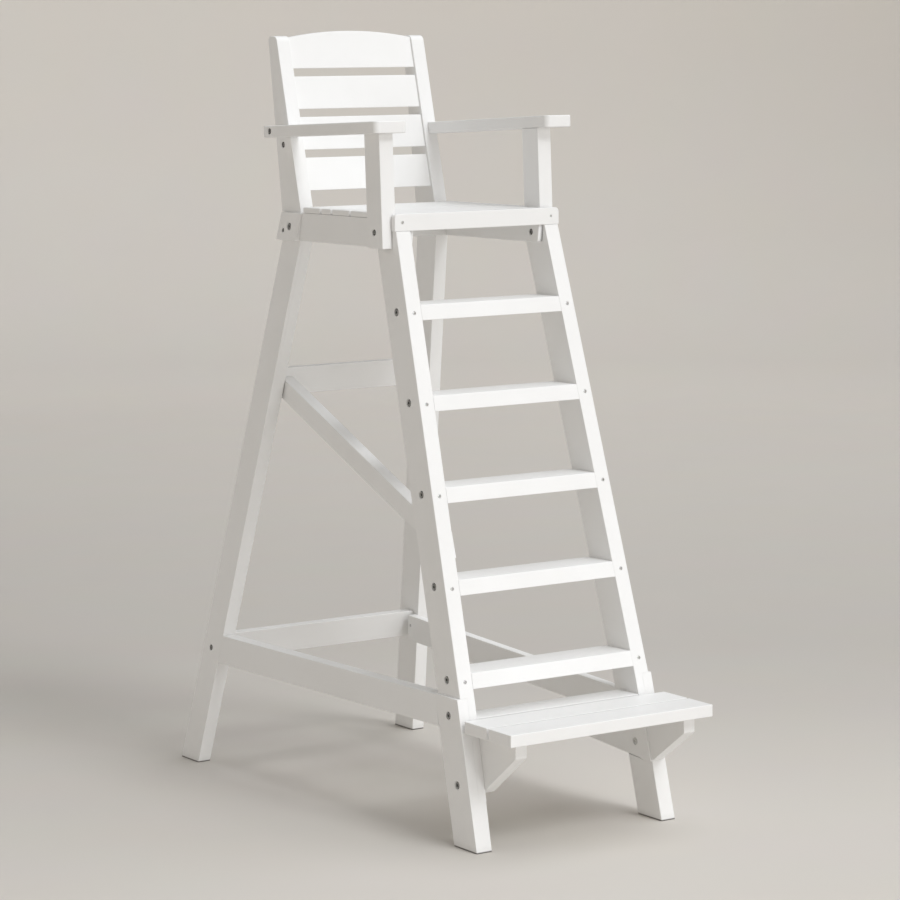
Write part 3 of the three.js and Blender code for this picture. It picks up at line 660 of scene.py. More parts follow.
@dataclass
class PaintShop:
    """The finishes of the chair, each made once."""

    timber: PaintedTimber = PaintedTimber()
    relief: bpy.types.NodeTree = field(default_factory=lambda: Relief().group())
    # The group that paints foot dust and a contact shadow on the feet.
    scuff_and_shadow: bpy.types.NodeTree = field(default_factory=lambda: ScuffAndShadow().group())
    paints: dict[Grain, bpy.types.Material] = field(default_factory=dict)
    metals: dict[Metal, bpy.types.Material] = field(default_factory=dict)

    def paint(self, grain: Grain) -> bpy.types.Material:
        """Gives the paint for one grain.

        Args:
            grain: The way the fibres run.

        Returns:
            The material.
        """
        if grain not in self.paints:
            self.paints[grain] = self.timber.material(grain, self.relief, self.scuff_and_shadow)
        return self.paints[grain]

    def metal(self, metal: Metal) -> bpy.types.Material:
        """Gives one finish of the fasteners.

        Args:
            metal: The finish.

        Returns:
            The material.
        """
        if metal not in self.metals:
            self.metals[metal] = metal.value.material()
        return self.metals[metal]


@dataclass
class Joinery:
    """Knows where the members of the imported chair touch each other."""

    nodes: dict[str, Piece]
    touch: float = 0.0007
    lift: float = 0.0001
    owners: list[str] = field(default_factory=list)
    skin: BVHTree = field(init=False)

    def __post_init__(self) -> None:
        """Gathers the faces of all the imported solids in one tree."""
        points: list[Vector] = []
        faces: list[tuple[int, ...]] = []
        for name in sorted(self.nodes):
            mesh = self.nodes[name].data
            first = len(points)
            points.extend(vertex.co.copy() for vertex in mesh.vertices)
            for polygon in mesh.polygons:
                faces.append(tuple(first + corner for corner in polygon.vertices))
                self.owners.append(name)
        self.skin = BVHTree.FromPolygons(points, faces)

    def lies_against_another(self, point: Vector, name: str) -> bool:
        """Tells whether a point of one member touches another member.

        Args:
            point: The point.
            name: The member that it belongs to.

        Returns:
            True where another member is within the joint gap.
        """
        near = self.skin.find_nearest_range(point, self.touch)
        return any(self.owners[index] != name for _, _, index, _ in near)

    def surface(self, name: str, start: Vector, toward: Vector) -> tuple[Vector, Vector]:
        """Finds where a line first meets a member.

        Args:
            name: The member.
            start: A point outside it.
            toward: The way to look.

        Returns:
            The point on the member and the way its face looks.
        """
        mesh = self.nodes[name].data
        skin = BVHTree.FromPolygons(
            [vertex.co for vertex in mesh.vertices],
            [tuple(polygon.vertices) for polygon in mesh.polygons],
        )
        place, normal, _, _ = skin.ray_cast(start, toward)
        if place is None:
            raise ValueError(f"nothing of {name} lies that way")
        return place, normal


@dataclass(frozen=True)
class Bore:
    """A round recess in a member, for the head of a fastener."""

    place: Vector
    outward: Vector
    radius: float
    depth: float
    spare: float = 0.004
    sides: int = 40

    def cutter(self) -> Piece:
        """Models the shape that the drill takes out.

        Returns:
            The cutter.
        """
        height = self.depth + self.spare
        deselect_all()
        bpy.ops.mesh.primitive_cylinder_add(vertices=self.sides, radius=self.radius, depth=height)
        made = bpy.context.active_object
        made.rotation_euler = self.outward.to_track_quat("Z", "Y").to_euler()
        made.location = self.place + self.outward * (self.spare - self.depth) / 2
        apply_place(made)
        return made


@dataclass
class Member:
    """One timber member: its node, its grain and how far its edges are rounded over."""

    node: str
    grain: Grain
    ease: float = 0.0022
    bores: list[Bore] = field(default_factory=list)
    segments: int = 3
    corner: float = 0.0
    corner_segments: int = 6
    sharpest: float = 25.0
    smooth: float = 40.0
    flat: float = 0.5
    normal_weight: int = 80
    bolt_reach: float = 0.0135
    test_shares: tuple[float, ...] = (0.1, 0.3, 0.5, 0.7, 0.9)

    def near_bolt(self, point: Vector, bolts: list[Vector]) -> bool:
        """Tells whether a point lies at a bolt's recess."""
        return any(math.hypot(point.y - b.y, point.z - b.z) < self.bolt_reach for b in bolts)

    def is_free(self, edge: bmesh.types.BMEdge, joinery: Joinery, bolts: list[Vector]) -> bool:
        """Tells whether an edge of the member is one that a hand can reach.

        Args:
            edge: An edge of the merged solid.
            joinery: Where the members touch.
            bolts: The middles of the bolts that pass through the member.

        Returns:
            True where the edge is convex, sharp and mostly clear of its neighbours.
        """
        if len(edge.link_faces) != 2 or not edge.is_convex:
            return False
        if math.degrees(edge.calc_face_angle(0.0)) < self.sharpest:
            return False
        first, last = (vertex.co for vertex in edge.verts)
        if self.near_bolt((first + last) / 2, bolts):
            return False
        outward = sum((face.normal for face in edge.link_faces), Vector()).normalized()
        points = [first.lerp(last, share) + outward * joinery.lift for share in self.test_shares]
        touching = sum(joinery.lies_against_another(point, self.node) for point in points)
        return touching * 2 < len(points)

    def round_corners(self) -> None:
        """Rounds the two upright corners at the member's front end, by planes round each."""
        low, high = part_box(self.node)
        for side, outer in ((-1.0, low.x), (1.0, high.x)):
            middle = Vector((outer - side * self.corner, low.y + self.corner, low.z))
            for step in range(self.corner_segments):
                angle = RIGHT_ANGLE * (step + 0.5) / self.corner_segments
                outward = Vector((side * math.sin(angle), -math.cos(angle), 0.0))
                bpy.ops.mesh.select_all(action="SELECT")
                bpy.ops.mesh.bisect(
                    plane_co=middle + outward * self.corner,
                    plane_no=outward,
                    use_fill=True,
                    clear_outer=True,
                )

    def ease_edges(self, piece: Piece, joinery: Joinery, bolts: list[Vector]) -> None:
        """Rounds over the free edges of the member.

        Args:
            piece: The copy of the member's solid.
            joinery: Where the members touch.
            bolts: The middles of the bolts that pass through the member.
        """
        pick(piece)
        bpy.ops.object.mode_set(mode="EDIT")
        bpy.ops.mesh.select_mode(type="VERT")
        bpy.ops.mesh.select_all(action="SELECT")
        bpy.ops.mesh.remove_doubles(threshold=MERGE_DISTANCE)
        bpy.ops.mesh.dissolve_limited(angle_limit=math.radians(self.flat))
        if self.corner:
            self.round_corners()
        select_where(piece, "EDGE", lambda edge: self.is_free(edge, joinery, bolts))
        bpy.ops.mesh.bevel(
            offset=self.ease, segments=self.segments, affect="EDGES", clamp_overlap=False
        )
        bpy.ops.object.mode_set(mode="OBJECT")

    def build(self, joinery: Joinery, shop: PaintShop) -> Piece:
        """Dresses the member.

        Args:
            joinery: Where the members touch.
            shop: The finishes.

        Returns:
            The finished member.
        """
        node = joinery.nodes[self.node]
        piece = twin(node, f"{self.node}_timber")
        low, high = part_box(self.node)
        bolts = [
            (first + last) / 2
            for first, last in (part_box(name) for name in joinery.nodes if "bolt" in name)
            if first.x < high.x and last.x > low.x
        ]
        self.ease_edges(piece, joinery, bolts)
        for bore in self.bores:
            cutter = bore.cutter()
            apply_modifier(piece, "BOOLEAN", operation="DIFFERENCE", object=cutter)
            bpy.data.objects.remove(cutter)
        pick(piece)
        bpy.ops.object.shade_smooth_by_angle(angle=math.radians(self.smooth))
        apply_modifier(piece, "WEIGHTED_NORMAL", keep_sharp=True, weight=self.normal_weight)
        piece.data.materials.clear()
        piece.data.materials.append(shop.paint(self.grain))
        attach(piece, BODY)
        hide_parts(self.node)
        log.info("%s: %d faces", piece.name, len(piece.data.polygons))
        return piece


@dataclass(frozen=True)
class Head:
    """The head of a bolt or screw, with its washer and the recess that turns it."""

    radius: float
    height: float
    drive: Drive
    drive_size: float
    drive_depth: float
    metal: Metal
    washer_radius: float = 0.0
    # By default the washer is the near-black steel that paints the shade round the head in its
    # recess.
    washer_metal: Metal = Metal.BLACK
    washer_height: float = 0.0012
    crown: float = 0.0006
    rim: float = 0.0006
    rim_segments: int = 3
    sides: int = 40
    hex_sides: int = 6
    facing_out: float = 0.9
    dome_inset: float = 0.16
    dome_steps: tuple[float, ...] = (0.7, 0.4)
    slot_share: float = 0.36

    def disc(self, name: str, radius: float, low: float, high: float) -> Piece:
        """Models a round disc along X with rounded rims.

        Args:
            name: The disc's name.
            radius: Its radius.
            low: Where it starts.
            high: Where it ends.

        Returns:
            The disc.
        """
        made = rod(name, radius, low, high, self.sides)
        bpy.ops.object.mode_set(mode="EDIT")
        middle = (low + high) / 2

        def is_rim(edge: bmesh.types.BMEdge) -> bool:
            """Tells whether an edge runs round one end of the disc."""
            ends = [vertex.co.x > middle for vertex in edge.verts]
            return ends[0] == ends[1]

        select_where(made, "EDGE", is_rim)
        bpy.ops.mesh.bevel(offset=self.rim, segments=self.rim_segments, affect="EDGES")
        bpy.ops.object.mode_set(mode="OBJECT")
        return made

    def raise_crown(self, head: Piece) -> None:
        """Domes the outer face of a head a little.

        Args:
            head: The head's disc.
        """
        top = max(face.center.x for face in head.data.polygons) - MERGE_DISTANCE
        pick(head)
        bpy.ops.object.mode_set(mode="EDIT")
        select_where(
            head,
            "FACE",
            lambda face: face.calc_center_median().x > top and face.normal.x > self.facing_out,
        )
        for share in self.dome_steps:
            bpy.ops.mesh.inset(thickness=self.radius * self.dome_inset)
            bpy.ops.transform.translate(value=OUTWARD * self.crown * share)
        bpy.ops.object.mode_set(mode="OBJECT")

    def recess_cutters(self, top: float) -> list[Piece]:
        """Models what the drive recess takes out of the head.

        Args:
            top: Where the head's outer face lies.

        Returns:
            The cutters.
        """
        if self.drive is Drive.HEX:
            low = top - self.drive_depth
            return [rod("socket", self.drive_size, low, top + self.drive_depth, self.hex_sides)]
        cutters = []
        for turn in (0.0, RIGHT_ANGLE):
            deselect_all()
            bpy.ops.mesh.primitive_cube_add(size=1.0)
            slot = bpy.context.active_object
            width = self.drive_size * self.slot_share
            slot.scale = (2 * self.drive_depth, 2 * self.drive_size, width)
            slot.rotation_euler = (turn, 0.0, 0.0)
            slot.location = OUTWARD * top
            apply_place(slot)
            cutters.append(slot)
        return cutters

    def build(self, name: str, shop: PaintShop) -> Piece:
        """Models the head along +X with its seat at the origin.

        Args:
            name: The head's name.
            shop: The finishes.

        Returns:
            The head.
        """
        seat = self.washer_height if self.washer_radius else 0.0
        head = self.disc(name, self.radius, seat, self.height)
        self.raise_crown(head)
        for cutter in self.recess_cutters(self.height):
            apply_modifier(head, "BOOLEAN", operation="DIFFERENCE", object=cutter)
            bpy.data.objects.remove(cutter)
        head.data.materials.append(shop.metal(self.metal))
        if self.washer_radius:
            washer = self.disc(f"{name}_washer", self.washer_radius, 0.0, seat)
            washer.data.materials.append(shop.metal(self.washer_metal))
            head = join([head, washer])
        return head


class Fastener(Enum):
    """The small fasteners: the head of each, and its recess's radius and depth."""

    SCREW = (
        Head(0.0054, 0.0014, Drive.CROSS, 0.003, 0.0009, Metal.ZINC, crown=0.0003),
        0.0059,
        0.0016,
    )
    BOLT = (
        Head(0.0058, 0.0034, Drive.HEX, 0.0034, 0.0022, Metal.WEATHERED, 0.0092),
        0.0096,
        0.0036,
    )
    PAINTED_BOLT = (
        Head(0.0068, 0.0026, Drive.HEX, 0.0034, 0.0018, Metal.PAINTED, 0.0112, Metal.PAINTED),
        0.0118,
        0.003,
    )


@dataclass
class Spot:
    """Where a small fastener sits: a point off the face and the way to the face."""

    name: str
    node: str
    start: Triple
    toward: Triple
    kind: Fastener = Fastener.SCREW
    share: float = 1.0


def beside(
    side: float,
    name: str,
    node: str,
    place: Span,
    kind: Fastener = Fastener.BOLT,
    share: float = 1.0,
) -> Spot:
    """Gives the spot of a fastener in a member's side face.

    Args:
        side: Where the head is seen from: -1 or 1 from outside, 0 from the middle to the right.
        name: The fastener's name.
        node: The member.
        place: The head's Y and Z.
        kind: What it is.
        share: How large it is, as a share of its kind's size.

    Returns:
        The spot.
    """
    return Spot(name, node, (side, *place), (-side or 1.0, 0.0, 0.0), kind, share)


@dataclass
class Hardware:
    """Models the bolts and screws and sets them in the chair."""

    shop: PaintShop
    shank_radius: float = 0.004
    screw_shank_radius: float = 0.0022
    screw_length: float = 0.03
    shank_sides: int = 24
    smooth: float = 35.0
    frame_head: Head = Head(0.0085, 0.006, Drive.HEX, 0.0045, 0.0036, Metal.WEATHERED, 0.0115)
    frame_model: Piece = field(init=False)
    small_models: dict[Fastener, Piece] = field(default_factory=dict)

    def __post_init__(self) -> None:
        """Models each kind of head once, and sets the models aside."""
        self.frame_model = self.frame_head.build("frame_bolt_head", self.shop)
        for kind in Fastener:
            head, _, _ = kind.value
            self.small_models[kind] = head.build(f"{kind.name.lower()}_head", self.shop)

    def with_shank(self, model: Piece, name: str, radius: float, length: float) -> Piece:
        """Copies the model of a head and gives the copy its shank.

        Args:
            model: The head's model.
            name: The fastener's name.
            radius: The shank's radius.
            length: How far the shank reaches in from the seat.

        Returns:
            The fastener.
        """
        shank = rod(f"{name}_shank", radius, -length, 0.0, self.shank_sides)
        shank.data.materials.append(self.shop.metal(Metal.WEATHERED))
        return join([twin(model, name), shank])

    def finish(self, piece: Piece, place: Vector, outward: Vector) -> None:
        """Sets a fastener in its place, smooths it and mounts it on the chair.

        Args:
            piece: The fastener, modelled along +X with its seat at the origin.
            place: Where its seat goes.
            outward: The way its head faces.
        """
        turn_to(piece, place, outward)
        bpy.ops.object.mode_set(mode="EDIT")
        bpy.ops.mesh.select_all(action="SELECT")
        bpy.ops.mesh.normals_make_consistent(inside=False)
        bpy.ops.object.mode_set(mode="OBJECT")
        bpy.ops.object.shade_smooth_by_angle(angle=math.radians(self.smooth))
        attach(piece, BODY)
        log.info("%s: %d faces", piece.name, len(piece.data.polygons))

    def frame_bolt(self, node: str) -> None:
        """Replaces a packed bolt by a detailed one.

        Args:
            node: The bolt's node.
        """
        low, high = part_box(node)
        side = SIDES[node.split("_")[0]]
        face = high.x if side > 0 else low.x
        place = (low + high) / 2
        place.x = face - side * self.frame_head.height
        length = high.x - low.x - self.frame_head.height
        piece = self.with_shank(self.frame_model, f"{node}_steel", self.shank_radius, length)
        self.finish(piece, place, OUTWARD * side)
        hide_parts(node)

    def set_small(self, spot: Spot, face: Vector, outward: Vector) -> Bore:
        """Sets a screw or a small bolt in its recess.

        Args:
            spot: What it is called and how large it is.
            face: Where its middle meets the member's face.
            outward: The way its head faces.

        Returns:
            The recess that the member needs.
        """
        _, radius, depth = spot.kind.value
        piece = self.with_shank(
            self.small_models[spot.kind],
            spot.name,
            self.screw_shank_radius / spot.share,
            self.screw_length,
        )
        piece.scale = Vector((1.0, spot.share, spot.share))
        apply_place(piece)
        self.finish(piece, face - outward * depth, outward)
        return Bore(face, outward, radius * spot.share, depth)

    def clear(self) -> None:
        """Removes the models that the fasteners were copied from."""
        for model in (self.frame_model, *self.small_models.values()):
            bpy.data.objects.remove(model)


@dataclass
class Assembly:
    """A sub-assembly: members that share a job, and the fasteners set in them."""

    title: str = "assembly"

    def members(self) -> list[Member]:
        """Lists the timber members."""
        return []

    def bolts(self) -> list[str]:
        """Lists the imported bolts."""
        return []

    def spots(self) -> list[Spot]:
        """Lists the small fasteners."""
        return []

    def build(self, joinery: Joinery, shop: PaintShop, hardware: Hardware) -> None:
        """Builds the members with their recesses, then the fasteners.

        Args:
            joinery: Where the members touch.
            shop: The finishes.
            hardware: Models the fasteners.
        """
        members = {member.node: member for member in self.members()}
        for spot in self.spots():
            face = joinery.surface(spot.node, Vector(spot.start), Vector(spot.toward))
            members[spot.node].bores.append(hardware.set_small(spot, *face))
        for member in members.values():
            member.build(joinery, shop)
        for node in self.bolts():
            hardware.frame_bolt(node)
        log.info("%s: %d members", self.title, len(members))


@dataclass
class Ladder(Assembly):
    """The raked stiles, the lower legs spliced to them, the rungs and their fasteners."""

    title: str = "ladder"
    rung_count: int = 5
    rung_ease: float = 0.0024
    screw_beside_rung: float = 0.011
    clear: float = 0.3

    def members(self) -> list[Member]:
        """Lists the ladder's members.

        Returns:
            The stiles, the lower legs and the rungs.
        """
        rungs = [
            Member(f"ladder_rung_{number}", Grain.ACROSS, self.rung_ease)
            for number in range(1, self.rung_count + 1)
        ]
        return [
            Member("left_ladder_stile", Grain.LEFT_STILE),
            Member("right_ladder_stile", Grain.RIGHT_STILE),
            Member("left_lower_leg", Grain.LEFT_LOWER_LEG),
            Member("right_lower_leg", Grain.RIGHT_LOWER_LEG),
            *rungs,
        ]

    def bolts(self) -> list[str]:
        """Lists the bolts of the rungs and of the splices.

        Returns:
            The bolts' nodes.
        """
        numbers = range(1, self.rung_count + 1)
        rung_bolts = [f"{side}_rung_bolt_{number}" for side in SIDES for number in numbers]
        leg_bolts = [f"{side}_leg_bolt_{end}" for side in SIDES for end in ("upper", "lower")]
        return rung_bolts + leg_bolts

    def spots(self) -> list[Spot]:
        """Lists the screws in the front faces of the stiles, one beside each rung end.

        Returns:
            The screws' spots.
        """
        spots = []
        for number in range(1, self.rung_count + 1):
            low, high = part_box(f"ladder_rung_{number}")
            for side, sign in SIDES.items():
                across = sign * (high.x + self.screw_beside_rung)
                start = (across, low.y - self.clear, (low.z + high.z) / 2)
                name = f"{side}_stile_screw_{number}"
                spots.append(Spot(name, f"{side}_ladder_stile", start, AHEAD))
        return spots


@dataclass
class RearFrame(Assembly):
    """The splayed rear legs with their rails, the side stretchers and the brace."""

    title: str = "rear frame"
    rail_bolt: Span = (0.732, 0.379)
    stretcher_screw: Span = (0.664, 0.381)

    def members(self) -> list[Member]:
        """Lists the members of the rear frame.

        Returns:
            The legs, the rails, the stretchers and the brace.
        """
        return [
            Member("left_rear_leg", Grain.LEFT_REAR_LEG),
            Member("right_rear_leg", Grain.RIGHT_REAR_LEG),
            Member("upper_rear_rail", Grain.ACROSS),
            Member("lower_rear_rail", Grain.ACROSS),
            Member("left_side_stretcher", Grain.LEFT_STRETCHER),
            Member("right_side_stretcher", Grain.RIGHT_STRETCHER),
            Member("diagonal_brace", Grain.BRACE),
        ]

    def spots(self) -> list[Spot]:
        """Lists the bolt through the left leg and the screw through the right stretcher.

        Returns:
            Their spots.
        """
        stretcher = "right_side_stretcher"
        return [
            beside(-1.0, "left_rail_bolt", "left_rear_leg", self.rail_bolt),
            beside(0.0, "stretcher_screw", stretcher, self.stretcher_screw, Fastener.SCREW),
        ]


@dataclass
class Seat(Assembly):
    """The seat rails, the aprons, the slats and the blocks over the rear corners."""

    title: str = "seat"
    slat_count: int = 6
    slat_ease: float = 0.004
    front: float = -1.0
    screw_height: float = 1.775
    left_screw: Span = (-0.2676, 0.85)
    right_screw: Span = (0.2646, 0.7)
    block_bolt: Span = (0.424, 1.726)
    block_bolt_share: float = 0.7
    rail_bolt: Span = (-0.1801, 1.7265)

    def members(self) -> list[Member]:
        """Lists the members of the seat.

        Returns:
            The rails, the aprons, the slats and the corner blocks.
        """
        slats = [
            Member(f"seat_slat_{number}", Grain.ACROSS, self.slat_ease)
            for number in range(1, self.slat_count + 1)
        ]
        return [
            Member("left_seat_rail", Grain.ALONG),
            Member("right_seat_rail", Grain.ALONG),
            Member("front_apron", Grain.ACROSS),
            Member("rear_apron", Grain.ACROSS),
            *slats,
            Member("left_corner_block", Grain.ALONG),
            Member("right_corner_block", Grain.ALONG),
        ]

    def bolts(self) -> list[str]:
        """Lists the bolts through the corner blocks."""
        return [f"{side}_post_bolt" for side in SIDES]

    def spots(self) -> list[Spot]:
        """Lists the screws of the apron, the small bolts of the blocks and that of the rail.

        Returns:
            Their spots.
        """
        spots = []
        for side, (across, share) in zip(SIDES, (self.left_screw, self.right_screw)):
            start = (across, self.front, self.screw_height)
            name = f"{side}_apron_screw"
            spots.append(Spot(name, "front_apron", start, AHEAD, share=share))
        for side, sign in SIDES.items():
            block = f"{side}_corner_block"
            name = f"{side}_block_screw"
            share = self.block_bolt_share
            spots.append(beside(sign, name, block, self.block_bolt, share=share))
        return [*spots, beside(0.0, "rail_bolt", "right_seat_rail", self.rail_bolt)]


@dataclass
class Backrest(Assembly):
    """The leaning back posts and the slats between them, the top one arched."""

    title: str = "backrest"
    slat_count: int = 4
    arm_bolt: Span = (0.443, 1.988)

    def members(self) -> list[Member]:
        """Lists the members of the backrest.

        Returns:
            The posts and the slats.
        """
        slats = [
            Member(f"back_slat_{number}", Grain.ACROSS) for number in range(1, self.slat_count + 1)
        ]
        posts = [Member(f"{side}_back_post", Grain.BACK_POST) for side in SIDES]
        return posts + slats

    def spots(self) -> list[Spot]:
        """Lists the bolts that hold the posts to the armrests.

        Returns:
            Their spots.
        """
        return [
            beside(sign, f"{side}_arm_bolt", f"{side}_back_post", self.arm_bolt)
            for side, sign in SIDES.items()
        ]


@dataclass
class Arms(Assembly):
    """The armrests and the posts under their fronts."""

    title: str = "arms"
    arm_ease: float = 0.0034
    arm_corner: float = 0.017
    foot_bolt: Span = (-0.1654, 1.7452)
    edge_bolt: Span = (0.3827, 2.0321)

    def members(self) -> list[Member]:
        """Lists the members of the arms.

        Returns:
            The posts and the armrests.
        """
        posts = [Member(f"{side}_arm_post", Grain.ARM_POST) for side in SIDES]
        rests = [
            Member(f"{side}_armrest", Grain.ARMREST, self.arm_ease, corner=self.arm_corner)
            for side in SIDES
        ]
        return posts + rests

    def spots(self) -> list[Spot]:
        """Lists the bolt of the left post and the bolts in the armrests' outer edges.

        Returns:
            Their spots.
        """
        foot = beside(-1.0, "left_post_foot_bolt", "left_arm_post", self.foot_bolt)
        edges = [
            beside(sign, f"{side}_armrest_bolt", f"{side}_armrest", self.edge_bolt)
            for side, sign in SIDES.items()
        ]
        return [foot, *edges]


@dataclass
class Footrest(Assembly):
    """The footrest boards, the brackets under them and the bearer inside the right leg."""

    title: str = "footrest"
    board_count: int = 3
    board_ease: float = 0.0024
    bearer_bolt: Span = (-0.5951, 0.2207)

    def members(self) -> list[Member]:
        """Lists the members of the footrest.

        Returns:
            The boards, the brackets and the bearer.
        """
        boards = [
            Member(f"footrest_board_{number}", Grain.ACROSS, self.board_ease)
            for number in range(1, self.board_count + 1)
        ]
        return [
            *boards,
            Member("left_footrest_bracket", Grain.ALONG),
            Member("right_footrest_bracket", Grain.ALONG),
            Member("right_footrest_bearer", Grain.ALONG),
        ]

    def spots(self) -> list[Spot]:
        """Lists the bolt on the inner face of the bearer."""
        bearer = "right_footrest_bearer"
        return [beside(0.0, "bearer_bolt", bearer, self.bearer_bolt, Fastener.PAINTED_BOLT)]


@dataclass(frozen=True)
class Lamp:
    """A distant lamp: the way to it, its strength and how wide it looks in degrees."""

    name: str
    direction: Triple
    strength: float
    angle: float
    colour: Triple = (0.95, 0.972, 1.0)

    def build(self) -> None:
        """Hangs the lamp."""
        deselect_all()
        bpy.ops.object.light_add(type="SUN")
        lamp = bpy.context.active_object
        lamp.name = self.name
        lamp.data.energy = self.strength
        lamp.data.color = self.colour
        lamp.data.angle = math.radians(self.angle)
        lamp.rotation_euler = Vector(self.direction).to_track_quat("Z", "Y").to_euler()


@dataclass
class Studio:
    """The sweep that the chair stands on, its paper painted with light and shade, its light and
    the camera.
    """

    floor_radius: float = 13.0
    cove_radius: float = 2.5
    wall_top: float = 7.0
    camera_place: Triple = (-5.2223, -7.9545, 2.2798)
    camera_target: Triple = (0.0, -0.0662, 1.0673)
    camera_roll: float = -0.543
    lens: float = 125.48
    sensor: float = 36.0
    depth_turn: float = 33.5
    lamps: tuple[Lamp, ...] = (
        Lamp("key_lamp", (0.14, -0.7, 0.7), 0.9, 18.0),
        Lamp("front_lamp", (0.2, -0.96, 0.12), 0.66, 30.0),
        Lamp("overhead_lamp", (0.3, -0.25, 0.92), 1.22, 60.0),
    )
    sky: Colour = (1.0, 0.995, 0.985, 1.0)
    sky_strength: float = 0.33
    paper_tint: Colour = (0.97, 0.92, 0.855, 1.0)
    paper_roughness: float = 0.9
    paper_specular: float = 0.1
    depth_span: Span = (-2.0, 14.0)
    # Painted light and shade by depth from the camera: light in front of the chair, darkest about
    # two metres behind it.
    painted_light_in_depth: tuple[Span, ...] = (
        (0.0, 0.99),
        (0.05, 0.95),
        (0.1, 0.93),
        (0.125, 0.9),
        (0.16, 0.85),
        (0.2, 0.79),
        (0.27, 0.74),
        (0.4, 0.755),
        (0.55, 0.775),
    )
    # Painted light by height: darker at the foot of the cove, lighter up the wall.
    painted_light_up_wall: tuple[Span, ...] = (
        (0.0, 0.765),
        (0.08, 0.73),
        (0.24, 0.77),
        (0.4, 0.805),
        (0.7, 0.895),
        (1.0, 1.0),
    )
    # Painted shade by side: darker towards the camera's left.
    painted_shade_across: tuple[Span, ...] = ((0.0, 0.9), (0.3, 0.945), (0.7, 1.0))
    side_reach: float = 9.5
    side_gain: float = 3.4
    side_middle: float = 0.5
    fleck_scale: float = 2.2
    fleck_detail: float = 3.0
    fleck_share: float = 0.04
    hub_radius: float = 0.4
    cove_steps: int = 14
    turn_steps: int = 96
    seam: float = 0.0001
    view_end: float = 100.0

    def sweep(self) -> Piece:
        """Models the floor and the wall as one spun surface.

        Returns:
            The sweep.
        """
        deselect_all()
        bpy.ops.mesh.primitive_plane_add(size=self.hub_radius)
        made = bpy.context.active_object
        made.name = "studio_sweep"
        bpy.ops.object.mode_set(mode="EDIT")
        bpy.ops.mesh.select_mode(type="VERT")
        bpy.ops.mesh.select_all(action="SELECT")
        bpy.ops.mesh.merge(type="CENTER")
        bpy.ops.transform.translate(value=OUTWARD * self.hub_radius)
        flat = self.floor_radius - self.cove_radius - self.hub_radius
        moves = [OUTWARD * flat]
        before = Vector()
        for step in range(1, self.cove_steps + 1):
            angle = RIGHT_ANGLE * step / self.cove_steps
            place = Vector((math.sin(angle), 0.0, 1.0 - math.cos(angle))) * self.cove_radius
            moves.append(place - before)
            before = place
        moves.append(Vector((0.0, 0.0, self.wall_top - self.cove_radius)))
        for move in moves:
            bpy.ops.mesh.extrude_region_move(TRANSFORM_OT_translate={"value": move})
        bpy.ops.mesh.select_all(action="SELECT")
        bpy.ops.mesh.spin(
            steps=self.turn_steps, angle=math.tau, center=(0.0, 0.0, 0.0), axis=(0.0, 0.0, 1.0)
        )
        bpy.ops.mesh.select_all(action="SELECT")
        bpy.ops.mesh.remove_doubles(threshold=self.seam)
        hub = self.hub_radius + self.seam
        select_where(made, "EDGE", lambda edge: all(v.co.length < hub for v in edge.verts))
        bpy.ops.mesh.edge_face_add()
        bpy.ops.mesh.select_all(action="SELECT")
        bpy.ops.mesh.normals_make_consistent(inside=True)
        bpy.ops.object.mode_set(mode="OBJECT")
        bpy.ops.object.shade_smooth()
        return made

    def paper(self) -> bpy.types.Material:
        """Builds the warm grey paper of the sweep, with painted light and shade: lighter in front
        of the chair, darkest some two metres behind it, darker towards the camera's left and at
        the foot of the cove.

        Returns:
            The material.
        """
        made, nodes, shader = new_material("warm_grey_paper_painted_light")
        shader.inputs["Roughness"].default_value = self.paper_roughness
        shader.inputs["Specular IOR Level"].default_value = self.paper_specular
        coordinates = nodes.add("ShaderNodeTexCoord")
        turn = (0.0, 0.0, math.radians(self.depth_turn))
        mapping = nodes.add("ShaderNodeMapping", Rotation=turn)
        nodes.link(coordinates.outputs["Object"], mapping.inputs["Vector"])
        split = nodes.add("ShaderNodeSeparateXYZ")
        nodes.link(mapping.outputs["Vector"], split.inputs["Vector"])
        depth = nodes.fade(split.outputs["Y"], self.depth_span)
        climb = nodes.maths("DIVIDE", split.outputs["Z"], self.cove_radius)
        reach = nodes.maths("ADD", split.outputs["Y"], self.side_reach)
        side = nodes.maths("DIVIDE", split.outputs["X"], reach)
        side = nodes.maths("MULTIPLY", side, self.side_gain)
        side = nodes.maths("ADD", side, self.side_middle)
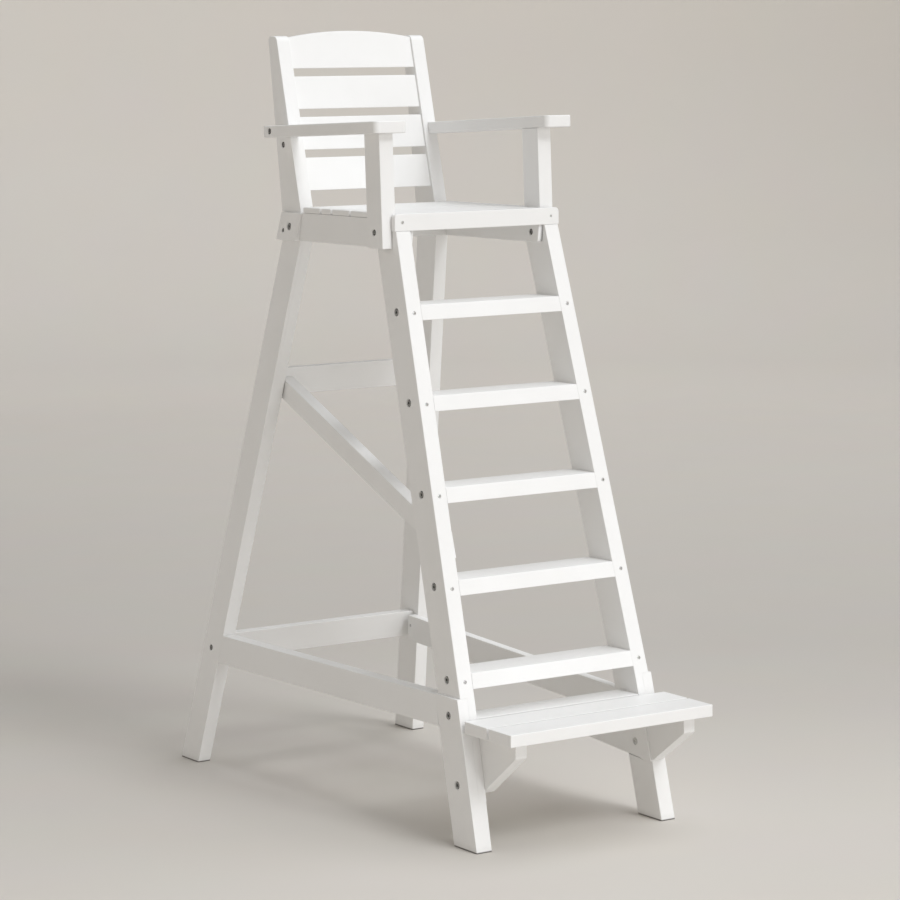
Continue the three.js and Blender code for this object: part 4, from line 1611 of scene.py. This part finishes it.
        # These three greys are painted light and shade, multiplied into the paper's tint.
        height_light = nodes.greys(climb, self.painted_light_up_wall)
        side_shade = nodes.greys(side, self.painted_shade_across)
        tone = nodes.greys(depth, self.painted_light_in_depth)
        for shade in (height_light, side_shade, self.paper_tint):
            tone = nodes.mix(1.0, tone, shade, "MULTIPLY")
        fleck = nodes.noise(coordinates.outputs["Object"], self.fleck_scale, self.fleck_detail)
        flecked = nodes.mix(self.fleck_share, tone, fleck.outputs["Color"], "SOFT_LIGHT")
        nodes.link(flecked, shader.inputs["Base Color"])
        return made

    def light(self) -> None:
        """Lights the chair with a key lamp, two soft lamps and an even sky."""
        for lamp in self.lamps:
            lamp.build()
        world = bpy.data.worlds.new("studio_sky")
        world.use_nodes = True
        sky = world.node_tree.nodes["Background"]
        sky.inputs["Color"].default_value = self.sky
        sky.inputs["Strength"].default_value = self.sky_strength
        bpy.context.scene.world = world

    def camera(self) -> None:
        """Sets the camera at the photograph's view."""
        deselect_all()
        bpy.ops.object.camera_add(location=self.camera_place)
        camera = bpy.context.active_object
        camera.name = "photo_camera"
        aim = Vector(self.camera_target) - Vector(self.camera_place)
        roll = Euler((0.0, 0.0, math.radians(self.camera_roll))).to_matrix()
        turned = aim.to_track_quat("-Z", "Y").to_matrix() @ roll
        camera.rotation_euler = turned.to_euler()
        camera.data.lens = self.lens
        camera.data.sensor_width = self.sensor
        camera.data.clip_end = self.view_end
        bpy.context.scene.camera = camera
        bpy.context.scene.view_settings.view_transform = "Standard"

    def build(self) -> None:
        """Builds the sweep, the light and the camera."""
        floor = self.sweep()
        floor.data.materials.append(self.paper())
        floor.visible_shadow = False
        self.light()
        self.camera()
        log.info("studio: sweep, %d lamps and camera", len(self.lamps))


def main() -> None:
    """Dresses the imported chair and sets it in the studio."""
    logging.basicConfig(level=logging.INFO, format="%(name)s: %(message)s")
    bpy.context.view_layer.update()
    shop = PaintShop()
    joinery = Joinery(frame["nodes"])
    hardware = Hardware(shop)
    for assembly in (Ladder(), RearFrame(), Seat(), Backrest(), Arms(), Footrest()):
        assembly.build(joinery, shop, hardware)
    hardware.clear()
    Studio().build()


if __name__ == "__main__":
    main()
